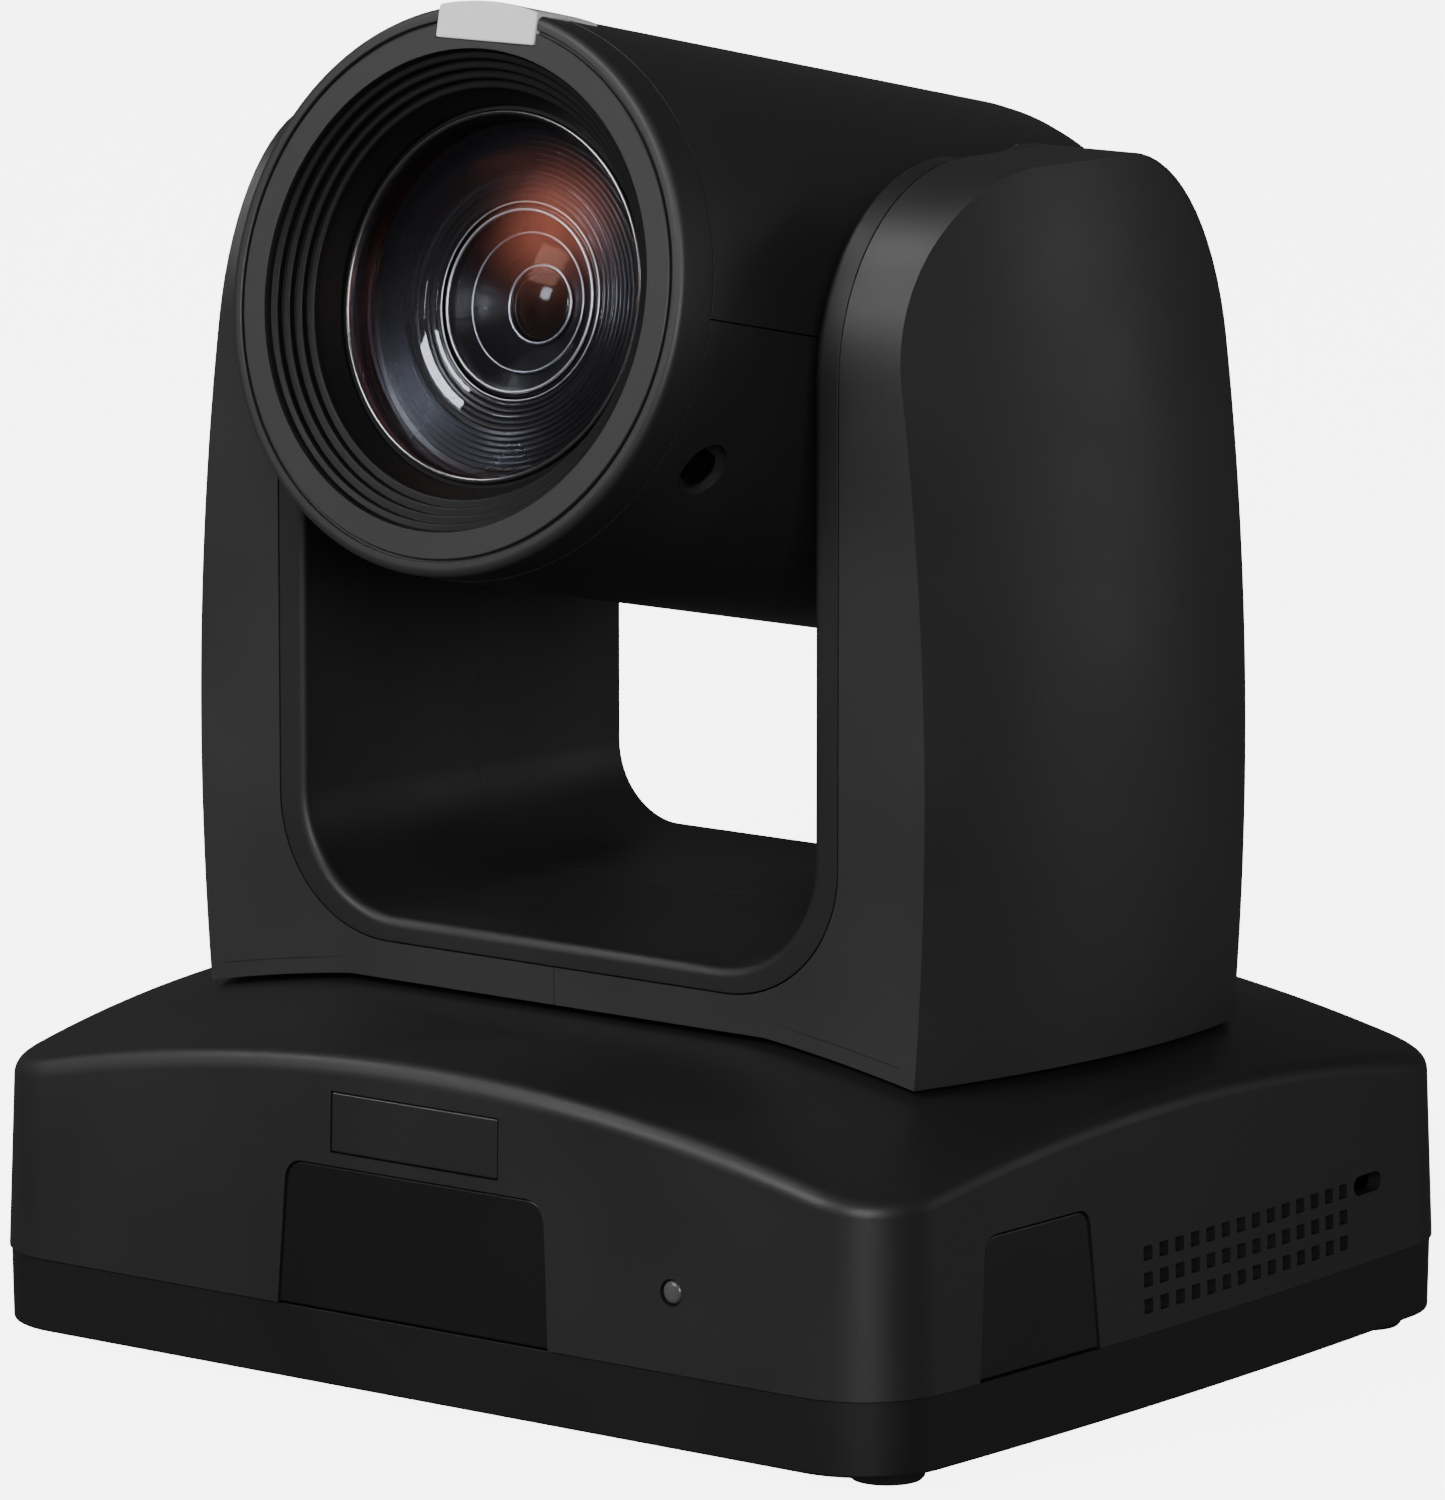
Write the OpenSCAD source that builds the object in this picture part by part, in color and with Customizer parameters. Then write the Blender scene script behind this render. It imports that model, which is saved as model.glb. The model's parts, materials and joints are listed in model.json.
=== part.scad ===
// Pan-tilt-zoom conference camera: a base box, a U-shaped yoke that pans on it,
// and a cylindrical camera head that tilts between the yoke's arms.
// Millimetres, +Z up, front towards -Y. The origin is the centre of the base's footprint,
// on the surface that the feet stand on.

/* [Base] */
// Width of the base, left to right
base_w = 179; // [170:1:190]
// Depth of the base, front to back
base_d = 151; // [146:1:156]
// Height of the joint between the tray and the cover
seam_z = 14; // [13:0.5:15]
// Height of the flat plateau under the yoke
plateau_z = 56; // [55.5:0.1:56.4]
// Pan axis, behind (+) or ahead (-) of the base's centre
pan_y = -2; // [-4:0.5:0]

/* [Yoke] */
// Depth of the yoke, front face to back face
yoke_d = 78.7; // [77:0.1:80]
// Height of the yoke's underside at the pan axis
yoke_z = 57.2; // [57:0.1:57.6]
// Height of the arms' tops
arm_top_z = 186.4; // [184:0.2:190]
// Half the width of the recess that the liner fills
recess_x = 53.5; // [53:0.1:54]
// Half the width between the liner's walls
gap_x = 48.6; // [48.5:0.1:49]

/* [Head] */
// Radius of the head's barrel
head_r = 42.3; // [42:0.1:42.6]
// How far the lens looks up at rest
head_pitch = 12; // [8:1:16]
// Tilt axis, behind the base's centre
tilt_y = 8; // [7:0.5:9]
// Height of the tilt axis
tilt_z = 152.6; // [152:0.1:154]

/* [Drive] */
// Teeth on the pan gear, module 1
pan_teeth = 60; // [60]
// Teeth on the tilt gear, module 0.8
tilt_teeth = 50; // [50]
// Teeth on each motor's pinion
pinion_teeth = 15; // [15]

/* [Hidden] */

wall = 2.5;          // every moulded shell
far = 400;           // larger than the object, for cutting
round_fn = 96;
black = [0.11, 0.11, 0.115];
dark_grey = [0.2, 0.2, 0.21];
steel = [0.66, 0.66, 0.68];
pcb_green = [0.05, 0.26, 0.14];
brass = [0.78, 0.62, 0.3];
rubber = [0.05, 0.05, 0.05];
smoked = [0.06, 0.03, 0.05];
glass = [0.3, 0.32, 0.4, 0.6];

// Base
corner_r = 15;
side_bow_r = 1020;   // the side walls bow out gently in plan
tray_z = 2.5;        // underside of the tray, above the feet's soles
floor_z = tray_z + wall;
tray_inset = 0.3;
dome_r = 336;        // the top is a shallow dome about the pan axis
dome_apex_z = 60.6;
dome_c = dome_apex_z - dome_r;
shaft_hole_r = 16;
foot_x = 77.8;
foot_y = 61.5;
foot_r = 6.2;
post_x = 79;         // screw posts that join the cover and the tray
post_y = 48;
post_r = 4;
screw_r = 1.5;
front_window = [26, 24.6, 36, 3];       // half width below, half width above, top, corner radius
side_window = [14.5, 12.2, 35.2, 2.5];
side_window_y = -38.5;
window_t = 1.5;
plate_w = 31.6;
plate_z = [38.4, 47.3];
plate_t = 1.3;
led_x = 48.7;
led_z = 26;
vent_cols = 14;
vent_rows = 3;
vent_pitch = 4;
vent_size = 2.2;
vent_y = -12.2;
vent_z = 18.2;
slot_y = 46.8;       // anti-theft slot, 7 x 3
slot_z = 26.2;
slot_size = [7, 3];
insert_x = 30;
insert_y = 35;
insert_r = 2;        // M4
tripod_r = 3.175;    // 1/4 inch
bush_z = 1.2;        // mouth of the tripod bush, between the feet's soles and the tray
bush_depth = 10;
panel_x = 70;        // recessed panel of sockets at the back
panel_top = 40;
panel_rim = 2;
panel_y = base_d / 2 - wall - 5;
board_z = 18;        // top of the socket board
board_t = 1.6;
dc_x = -58;          // the sockets, left to right seen from the front
audio_x = -44;
usb_x = -26;
hdmi_x = -4;
lan_x = 18;
serial_x = [36, 50];
sdi_x = 62.3;
socket_z = board_z + 5;
main_board_z = 9;    // underside of the main board
main_board_x = [18, 68];
main_board_y = [-56, 30];

// Pan drive
bearing_r = 20;
shaft_r = 14;
fit = 0.05;          // running clearance
gear_z = 35;
gear_t = 6;
pan_module = 1;
tilt_module = 0.8;
pan_motor_x = -pan_module * (pan_teeth + pinion_teeth) / 2;
motor_shaft_r = 2.5;
motor_top_z = 30;

// Yoke
yoke_h = yoke_d / 2;
arm_r = 30;          // rounding of the arms' tops, seen from the side
cheek_r = 112;       // the arms' outer faces bulge in plan
cheek_y = 5;         // widest a little behind the pan axis
cheek_x = 78.4;      // widest point of the cheeks
cheek_mid_z = 93;
cheek_bow_r = 500;   // and lean inwards towards the top and the bottom
yoke_gap = yoke_z - plateau_z + 0.1;
recess_z = 62.9;
recess_r = 21;
front_floor_z = 67;
front_fillet = 18;
rear_floor_z = 69.3;
rear_fillet = 12;
liner_seam_y = 3;
frame_t = 2.6;
upright_x = 54;
upright_y = [-17, 27];
upright_top = 166;
tilt_dy = tilt_y - pan_y;
trunnion_r = 6;
liner_hole_r = 7.6;
bush_r = 9;
tilt_gear_x = 57.8;
tilt_gear_t = 4;
tilt_pinion_dz = -tilt_module * (tilt_teeth + pinion_teeth) / 2;
tilt_motor_x = 62.2;
tilt_motor_l = 7.8;
tilt_motor_w = 22;

// Head, in its own frame: s runs forwards along the lens axis from the tilt axis
bezel_s = 74.2;      // front face of the bezel
shell_s = 67;        // where the shells meet the bezel
rear_s = -70;
rear_round = 24;
skirt_s = 50;
hood_r = 35.6;
hood_step = 1.3;
hood_steps = 4;
rim_s = 64.5;
barrel_r = 31.5;
barrel_in_r = 27.8;
barrel_s = 5;
lens_r = 26.6;
tally_x = 9.25;
tally_z = 36.8;
tally_s = 59.7;
tally_proud = 0.5;
collar_r = 14;
collar_x = [38.5, 48.2];
head_screw_s = 56.3;
head_screw_angle = 31;
rod_x = 22;
rod_r = 1.25;
cell_r = 26.5;
video_board_y = 48;

// ---------- shared shapes ----------

module at_pan() {
    translate([0, pan_y, 0]) children();
}

module at_tilt() {
    translate([0, tilt_y, tilt_z]) children();
}

module at_head() {
    at_tilt() rotate([-head_pitch, 0, 0]) children();
}

// Turns a profile of (radius, s) about the lens axis
module lathe() {
    rotate([90, 0, 0]) rotate_extrude($fn = round_fn) children();
}

// A round bar along the lens axis from s0 to s1
module bar_s(r, s0, s1, fn = round_fn) {
    rotate([90, 0, 0]) translate([0, 0, s0]) cylinder(h = s1 - s0, r = r, $fn = fn);
}

module ring_s(r_out, r_in, s0, s1) {
    difference() {
        bar_s(r_out, s0, s1);
        bar_s(r_in, s0 - 1, s1 + 1);
    }
}

// A round bar along X from x0 to x1
module bar_x(r, x0, x1) {
    translate([x0, 0, 0]) rotate([0, 90, 0]) cylinder(h = x1 - x0, r = r, $fn = 64);
}

module bar_y(r, y0, y1) {
    translate([0, y1, 0]) rotate([90, 0, 0]) cylinder(h = y1 - y0, r = r, $fn = 48);
}

// A box from its lowest to its highest corner
module box(low, high) {
    translate(low) cube(high - low);
}

// Extrudes a (Y, Z) outline along X
module along_x(x0, x1) {
    translate([x0, 0, 0]) rotate([90, 0, 90]) linear_extrude(x1 - x0) children();
}

// Extrudes an (X, Z) outline along Y
module along_y(y0, y1) {
    translate([0, y1, 0]) rotate([90, 0, 0]) linear_extrude(y1 - y0) children();
}

module both_sides() {
    children();
    mirror([1, 0, 0]) children();
}

module four(x, y) {
    for (sx = [-1, 1], sy = [-1, 1]) {
        translate([sx * x, sy * y, 0]) children();
    }
}

// Involute spur gear outline
function inv(a) = tan(a) - a * PI / 180;
function flank(n, m, r) =
    let (base = n * m / 2 * cos(20))
    90 / n - 0.08 * 180 / PI / (n / 2) + 180 / PI * (inv(20) - inv(acos(min(1, base / max(base, r)))));

module gear_2d(n, m) {
    pitch = n * m / 2;
    radii = [pitch - 1.05 * m, max(pitch * cos(20), pitch - m), pitch, pitch + 0.8 * m];
    polygon([
        for (i = [0:n - 1], side = [-1, 1], k = [0:3])
            let (r = radii[side < 0 ? k : 3 - k], a = i * 360 / n + side * flank(n, m, r))
            [r * cos(a), r * sin(a)]
    ]);
}

// ---------- base ----------

module footprint(inset) {
    w = base_w - 2 * inset;
    d = base_d - 2 * inset;
    r = corner_r - inset;
    intersection() {
        union() {
            square([w - 2 * r, d], center = true);
            square([w, d - 2 * r], center = true);
            for (sx = [-1, 1], sy = [-1, 1]) {
                translate([sx * (w / 2 - r), sy * (d / 2 - r)]) circle(r, $fn = 64);
            }
        }
        translate([base_w / 2 - side_bow_r, 0]) circle(side_bow_r - inset, $fn = 256);
        translate([side_bow_r - base_w / 2, 0]) circle(side_bow_r - inset, $fn = 256);
    }
}

module dome(inset) {
    intersection() {
        at_pan() translate([0, 0, dome_c]) sphere(dome_r - inset, $fn = 200);
        box([-far, -far, 0], [far, far, plateau_z - inset]);
    }
}

module base_block(inset) {
    intersection() {
        translate([0, 0, seam_z]) linear_extrude(60) footprint(inset);
        dome(inset);
    }
}

// Window outline in (width, Z), standing on the seam
module window_2d(size) {
    half_low = size[0];
    half_top = size[1];
    top = size[2];
    r = size[3];
    polygon([[-half_low, seam_z], [half_low, seam_z], [half_top, top - r], [-half_top, top - r]]);
    translate([r - half_top, top - r - 1]) square([2 * (half_top - r), r + 1]);
    for (side = [-1, 1]) {
        translate([side * (half_top - r), top - r]) circle(r, $fn = 32);
    }
}

// The outer skin of the base's wall, as deep as a window is thick
module wall_skin(depth) {
    translate([0, 0, seam_z]) linear_extrude(40) difference() {
        footprint(0);
        footprint(depth);
    }
}

module front_window_prism(shrink) {
    along_y(-base_d / 2 - 1, -base_d / 2 + 5) window_2d(front_window - [shrink, shrink, shrink, 0]);
}

module side_window_prism(shrink) {
    translate([0, side_window_y, 0])
        along_x(base_w / 2 - 5, base_w / 2 + 1) window_2d(side_window - [shrink, shrink, shrink, 0]);
}

module plate_box(y0, y1) {
    box([-plate_w / 2, y0, plate_z[0]], [plate_w / 2, y1, plate_z[1]]);
}

module vents() {
    for (col = [0:vent_cols - 1], row = [0:vent_rows - 1]) {
        translate([base_w / 2, vent_y + col * vent_pitch, vent_z + row * vent_pitch])
            cube([12, vent_size, vent_size], center = true);
    }
}

module base_cover() {
    color(black) difference() {
        union() {
            difference() {
                base_block(0);
                base_block(wall);
                translate([0, 0, seam_z - 1]) linear_extrude(2) footprint(wall);
            }
            intersection() {
                base_block(0);
                four(post_x, post_y) translate([0, 0, seam_z]) cylinder(h = 60, r = post_r, $fn = 32);
            }
        }
        at_pan() translate([0, 0, seam_z]) cylinder(h = 60, r = shaft_hole_r, $fn = 64);
        four(post_x, post_y) translate([0, 0, seam_z - 1]) cylinder(h = 9, r = screw_r, $fn = 24);
        intersection() {
            wall_skin(window_t);
            front_window_prism(0);
        }
        front_window_prism(4);
        both_sides() {
            intersection() {
                wall_skin(window_t);
                side_window_prism(0);
            }
            side_window_prism(4);
            vents();
        }
        translate([base_w / 2, slot_y, slot_z]) cube([12, slot_size[0], slot_size[1]], center = true);
        plate_box(-far, -base_d / 2 + plate_t - 0.3);
        translate([led_x, 0, led_z]) bar_y(screw_r, -far, -base_d / 2 + 5);
        box([panel_rim - panel_x, panel_y, seam_z + panel_rim], [panel_x - panel_rim, far, panel_top - panel_rim]);
    }
}

// A post on the tray that holds a circuit board at height z
module standoff(x, y, z) {
    translate([x, y, tray_z]) cylinder(h = z - tray_z, r = 3, $fn = 24);
}

module base_tray() {
    color(black) difference() {
        union() {
            translate([0, 0, tray_z]) linear_extrude(wall) footprint(tray_inset);
            translate([0, 0, floor_z]) linear_extrude(seam_z - floor_z) difference() {
                footprint(tray_inset);
                footprint(tray_inset + wall);
            }
            four(post_x, post_y) translate([0, 0, tray_z]) cylinder(h = seam_z - tray_z, r = 5, $fn = 32);
            for (x = main_board_x, y = main_board_y) {
                standoff(x, y, main_board_z);
            }
            for (x = [-60, 60], y = [42, 62]) {
                standoff(x, y, board_z - board_t);
            }
            four(insert_x, insert_y) translate([0, 0, tray_z]) cylinder(h = 5.5, r = 5, $fn = 32);
        }
        four(post_x, post_y) translate([0, 0, tray_z - 1]) cylinder(h = 20, r = screw_r, $fn = 24);
        four(post_x, post_y) translate([0, 0, tray_z - 1]) cylinder(h = 4, r = 3, $fn = 32);
        four(foot_x, foot_y) translate([0, 0, tray_z - 1]) cylinder(h = 1.5, r = foot_r, $fn = 48);
        four(insert_x, insert_y) translate([0, 0, tray_z - 1]) cylinder(h = 20, r = 3.5, $fn = 32);
        translate([0, 0, tray_z - 1]) cylinder(h = 20, r = 8, $fn = 48);
        for (i = [-4:4]) {
            translate([i * 6, -45, tray_z]) cube([2.5, 14, 12], center = true);
        }
    }
}

module rubber_feet() {
    color(rubber) four(foot_x, foot_y) cylinder(h = tray_z + 0.5, r = foot_r, $fn = 48);
}

module front_ir_window() {
    color(smoked) intersection() {
        wall_skin(window_t);
        front_window_prism(0);
    }
}

module side_ir_windows() {
    color(smoked) both_sides() intersection() {
        wall_skin(window_t);
        side_window_prism(0);
    }
}

module name_plate() {
    color(dark_grey) plate_box(-base_d / 2 - 0.3, -base_d / 2 + plate_t - 0.3);
}

module status_led() {
    color("white") translate([led_x, 0, led_z]) bar_y(screw_r, -base_d / 2 + 0.1, -base_d / 2 + wall + 1);
}

module tripod_bush() {
    color(brass) translate([0, 0, bush_z]) difference() {
        union() {
            cylinder(h = bush_depth + 2, r = 8, $fn = 48);
            translate([0, 0, floor_z - bush_z]) cylinder(h = 2, r = 11, $fn = 48);
        }
        translate([0, 0, -1]) cylinder(h = bush_depth + 1, r = tripod_r, $fn = 48);
    }
}

module bracket_inserts() {
    color(brass) four(insert_x, insert_y) translate([0, 0, tray_z]) difference() {
        cylinder(h = 5.5, r = 3.5, $fn = 32);
        translate([0, 0, -1]) cylinder(h = 8, r = insert_r, $fn = 32);
    }
}

// ---------- sockets at the back ----------

module lan_mouth(y0, y1) {
    box([lan_x - 6, y0, board_z + 1.5], [lan_x + 6, y1, board_z + 9.5]);
}

module usb_mouth(y0, y1) {
    box([usb_x - 6.3, y0, board_z + 1], [usb_x + 6.3, y1, board_z + 6.2]);
}

module rear_panel() {
    color(black) difference() {
        box([-panel_x, panel_y - 2, seam_z], [panel_x, base_d / 2 - wall, panel_top]);
        box([panel_rim - panel_x, panel_y, seam_z + panel_rim], [panel_x - panel_rim, far, panel_top - panel_rim]);
        translate([dc_x, 0, socket_z]) bar_y(4.5, 0, far);
        translate([audio_x, 0, socket_z]) bar_y(3.2, 0, far);
        for (x = serial_x) {
            translate([x, 0, socket_z]) bar_y(5, 0, far);
        }
        translate([sdi_x, 0, socket_z + 5]) bar_y(4.8, 0, far);
        box([usb_x - 7.2, 0, board_z], [usb_x + 7.2, far, board_z + 7.2]);
        box([hdmi_x - 8, 0, board_z], [hdmi_x + 8, far, board_z + 6.4]);
        box([lan_x - 8, 0, board_z], [lan_x + 8, far, board_z + 13.4]);
    }
}

module dc_jack() {
    color(black) translate([dc_x, 0, socket_z]) difference() {
        union() {
            bar_y(4.5, panel_y - 4, panel_y);
            box([-5, panel_y - 14, -5], [5, panel_y - 2, 5]);
        }
        bar_y(2.85, panel_y - 10, far);
    }
    color(steel) translate([dc_x, 0, socket_z]) bar_y(1, panel_y - 10, panel_y - 1);
}

module lan_jack() {
    color(steel) difference() {
        box([lan_x - 8, panel_y - 16, board_z], [lan_x + 8, panel_y, board_z + 13.4]);
        lan_mouth(panel_y - 13, far);
    }
}

module hdmi_socket() {
    color(steel) difference() {
        box([hdmi_x - 8, panel_y - 11, board_z], [hdmi_x + 8, panel_y, board_z + 6.4]);
        box([hdmi_x - 7.2, panel_y - 9, board_z + 1], [hdmi_x + 7.2, far, board_z + 5.4]);
    }
    color(black) box([hdmi_x - 5.8, panel_y - 9, board_z + 2.7], [hdmi_x + 5.8, panel_y - 1, board_z + 3.9]);
}

module usb_socket() {
    color(steel) difference() {
        box([usb_x - 7.2, panel_y - 14, board_z], [usb_x + 7.2, panel_y, board_z + 7.2]);
        usb_mouth(panel_y - 12, far);
    }
    color("royalblue") box([usb_x - 5.6, panel_y - 12, board_z + 4.2], [usb_x + 5.6, panel_y - 1, board_z + 6.2]);
}

module sdi_connector() {
    color(steel) translate([sdi_x, 0, socket_z + 5]) difference() {
        union() {
            bar_y(4.8, panel_y - 2, panel_y + 6);
            box([-6, panel_y - 12, -10], [6, panel_y - 2, 6]);
        }
        bar_y(4.1, panel_y - 1, far);
    }
    color(brass) translate([sdi_x, 0, socket_z + 5]) bar_y(1, panel_y - 1, panel_y + 4);
}

module audio_jack() {
    color("limegreen") translate([audio_x, 0, socket_z]) difference() {
        union() {
            bar_y(3.2, panel_y - 4, panel_y + 0.5);
            box([-3.5, panel_y - 14, -5], [3.5, panel_y - 2, 3.5]);
        }
        bar_y(1.8, panel_y - 12, far);
    }
}

module serial_sockets() {
    color(dark_grey) for (x = serial_x) {
        translate([x, 0, socket_z]) difference() {
            union() {
                bar_y(5, panel_y - 4, panel_y + 0.3);
                box([-6, panel_y - 13, -5], [6, panel_y - 2, 5.5]);
            }
            difference() {
                bar_y(4.4, panel_y - 5, far);
                bar_y(2.6, panel_y - 6, panel_y - 0.5);
            }
        }
    }
}

module io_board() {
    color(pcb_green) box([-68, 38, board_z - board_t], [68, panel_y - 2, board_z]);
}

module main_board() {
    color(pcb_green) box([14, -60, main_board_z], [72, 34, main_board_z + board_t]);
}

module heat_sink() {
    color(steel) union() {
        box([40, -50, main_board_z + board_t], [70, -20, 13]);
        for (i = [0:7]) {
            box([40 + i * 4, -50, 12], [41.6 + i * 4, -20, 22]);
        }
    }
}

module base_screws() {
    color(steel) four(post_x, post_y) translate([0, 0, tray_z + 3]) {
        difference() {
            translate([0, 0, -2]) cylinder(h = 2, r = 3, $fn = 32);
            translate([0, 0, -3]) cylinder(h = 2, r = 1.5, $fn = 6);
        }
        cylinder(h = seam_z + 5 - tray_z, r = screw_r, $fn = 24);
    }
}

// ---------- pan drive ----------

module bearing_housing() {
    color(steel) at_pan() difference() {
        union() {
            translate([0, 0, 43]) cylinder(h = plateau_z - wall - 43, r = 24, $fn = 64);
            translate([0, 0, plateau_z - wall - 2]) cylinder(h = 2, r = 32, $fn = 64);
        }
        translate([0, 0, 45]) cylinder(h = 20, r = bearing_r, $fn = 64);
        translate([0, 0, 40]) cylinder(h = 20, r = 17, $fn = 64);
    }
}

module pan_bearing() {
    color(brass) at_pan() translate([0, 0, 45]) difference() {
        cylinder(h = 8, r = bearing_r, $fn = 64);
        translate([0, 0, -1]) cylinder(h = 10, r = shaft_r + fit, $fn = 64);
    }
}

module at_pan_motor() {
    at_pan() translate([pan_motor_x, 0, 0]) children();
}

module pan_motor() {
    color(dark_grey) at_pan_motor() difference() {
        translate([-14, -14, 12]) cube([28, 28, motor_top_z - 12]);
        translate([0, 0, motor_top_z - 10]) cylinder(h = 20, r = motor_shaft_r + fit, $fn = 32);
    }
}

module motor_bracket() {
    color(steel) at_pan_motor() {
        difference() {
            translate([-20, -20, motor_top_z]) cube([40, 40, 2]);
            translate([0, 0, motor_top_z - 1]) cylinder(h = 5, r = 6, $fn = 32);
        }
        four(17.5, 17.5) translate([0, 0, floor_z]) cylinder(h = motor_top_z - floor_z, r = 2.5, $fn = 24);
    }
}

module pan_pinion() {
    color(brass) at_pan_motor() union() {
        translate([0, 0, gear_z]) linear_extrude(gear_t) rotate(180 / pinion_teeth) gear_2d(pinion_teeth, pan_module);
        translate([0, 0, motor_top_z - 8]) cylinder(h = gear_z + gear_t + 1 - motor_top_z + 8, r = motor_shaft_r, $fn = 32);
    }
}

module pan_shaft() {
    color(steel) at_pan() translate([0, 0, gear_z - 2]) difference() {
        cylinder(h = yoke_z + wall - gear_z + 2, r = shaft_r, $fn = 64);
        translate([0, 0, -1]) cylinder(h = 40, r = 10, $fn = 64);
    }
}

module pan_gear() {
    color(brass) at_pan() translate([0, 0, gear_z]) linear_extrude(gear_t) difference() {
        gear_2d(pan_teeth, pan_module);
        circle(shaft_r, $fn = 64);
    }
}

// ---------- yoke ----------

// Side view of the arms, in (Y, Z)
module arm_2d(inset) {
    h = yoke_h - inset;
    r = arm_r - inset;
    top = arm_top_z - inset;
    translate([-h, 40]) square([2 * h, top - r - 40]);
    translate([r - h, 40]) square([2 * (h - r), top - 40]);
    for (side = [-1, 1]) {
        translate([side * (h - r), top - r]) circle(r, $fn = round_fn);
    }
}

// Front view of a U-shaped space, in (X, Z)
module u_2d(half, bottom, r) {
    translate([-half, bottom + r]) square([2 * half, 160]);
    translate([r - half, bottom]) square([2 * (half - r), r + 1]);
    for (side = [-1, 1]) {
        translate([side * (half - r), bottom + r]) circle(r, $fn = 64);
    }
}

module cheek(inset) {
    translate([cheek_x - cheek_r, cheek_y, 0]) rotate_extrude($fn = 200) intersection() {
        translate([cheek_r - cheek_bow_r, cheek_mid_z]) circle(cheek_bow_r - inset, $fn = 256);
        translate([0, 40]) square([cheek_r, 160]);
    }
}

module under_cut(inset) {
    intersection() {
        translate([0, 0, dome_c]) sphere(dome_r + yoke_gap + inset, $fn = 200);
        box([-far, -far, 0], [far, far, yoke_z + inset]);
    }
}

// Right-hand half of the yoke's outer form, shrunk by inset
module yoke_half(inset) {
    difference() {
        intersection() {
            along_x(0, cheek_x + 5) arm_2d(inset);
            cheek(inset);
        }
        under_cut(inset);
    }
}

module yoke_screw_places() {
    for (z = [78, 150]) {
        translate([58.5, 0, z]) children();
    }
}

module yoke_cover_right() {
    color(black) at_pan() difference() {
        yoke_half(0);
        yoke_half(wall);
        along_y(-far, far) u_2d(recess_x, recess_z, recess_r);
        translate([0, 0, 40]) cylinder(h = 22, r = shaft_hole_r, $fn = 64);
        yoke_screw_places() bar_y(screw_r, yoke_h - 5, yoke_h + 1);
        yoke_screw_places() bar_y(2.8, yoke_h - 1.2, yoke_h + 1);
    }
}

module yoke_cover_left() {
    mirror([1, 0, 0]) yoke_cover_right();
}

module yoke_screws() {
    color(steel) at_pan() both_sides() yoke_screw_places() difference() {
        union() {
            bar_y(screw_r, yoke_h - 8, yoke_h - 1.2);
            bar_y(2.8, yoke_h - 1.2, yoke_h - 0.2);
        }
        translate([0, yoke_h, 0]) rotate([90, 0, 0]) cylinder(h = 0.8, r = 1.4, $fn = 6);
    }
}

module liner(y0, y1, bottom, r) {
    difference() {
        intersection() {
            along_y(y0, y1) u_2d(recess_x, recess_z, recess_r);
            along_x(-60, 60) arm_2d(0);
        }
        along_y(-far, far) u_2d(gap_x, bottom, r);
        intersection() {
            along_y(-far, far) difference() {
                u_2d(recess_x + 1, recess_z - 1, recess_r);
                u_2d(gap_x + wall, bottom - wall, r + wall);
            }
            along_x(-60, 60) arm_2d(wall);
        }
        translate([0, tilt_dy, tilt_z]) bar_x(liner_hole_r, -60, 60);
    }
}

module liner_front() {
    color(black) at_pan() liner(-yoke_h, liner_seam_y, front_floor_z, front_fillet);
}

module liner_rear() {
    color(black) at_pan() liner(liner_seam_y, yoke_h, rear_floor_z, rear_fillet);
}

module yoke_frame() {
    color(steel) at_pan() difference() {
        union() {
            box([-upright_x - frame_t, upright_y[0], yoke_z + wall], [upright_x + frame_t, upright_y[1], yoke_z + wall + frame_t]);
            both_sides() box([upright_x, upright_y[0], yoke_z + wall], [upright_x + frame_t, upright_y[1], upright_top]);
            for (dy = [-8, 8], dz = [-9, 4]) {
                translate([0, tilt_dy + dy, tilt_z + tilt_pinion_dz + dz]) bar_x(1.5, upright_x, tilt_motor_x);
            }
        }
        translate([0, 0, 40]) cylinder(h = 40, r = 10, $fn = 64);
        translate([0, tilt_dy, tilt_z]) bar_x(bush_r, -far, far);
    }
}

module tilt_bushes() {
    color(brass) at_tilt() both_sides() difference() {
        bar_x(bush_r, upright_x - 1.5, upright_x + frame_t + 0.6);
        bar_x(trunnion_r + fit, 0, far);
    }
}

module tilt_motor() {
    color(dark_grey) at_tilt() translate([0, 0, tilt_pinion_dz]) difference() {
        box([tilt_motor_x, -tilt_motor_w / 2, -tilt_motor_w / 2], [tilt_motor_x + tilt_motor_l, tilt_motor_w / 2, tilt_motor_w / 2]);
        bar_x(motor_shaft_r + fit, 0, tilt_motor_x + 6);
    }
}

module tilt_pinion() {
    color(brass) at_tilt() translate([0, 0, tilt_pinion_dz]) union() {
        translate([tilt_gear_x, 0, 0]) rotate([0, 90, 0]) linear_extrude(tilt_gear_t - 0.3) gear_2d(pinion_teeth, tilt_module);
        bar_x(motor_shaft_r, tilt_gear_x, tilt_motor_x + 5);
    }
}

// ---------- head ----------

// Profile of the head's barrel with a rounded back, in (radius, s)
module head_2d(inset) {
    r = head_r - inset;
    c = rear_round - inset;
    back = rear_s + inset;
    translate([0, back + c]) square([r, shell_s - back - c]);
    translate([0, back]) square([r - c, c + 1]);
    translate([r - c, back + c]) intersection() {
        circle(c, $fn = 64);
        translate([-1, -c - 1]) square([c + 2, c + 2]);
    }
}

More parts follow.
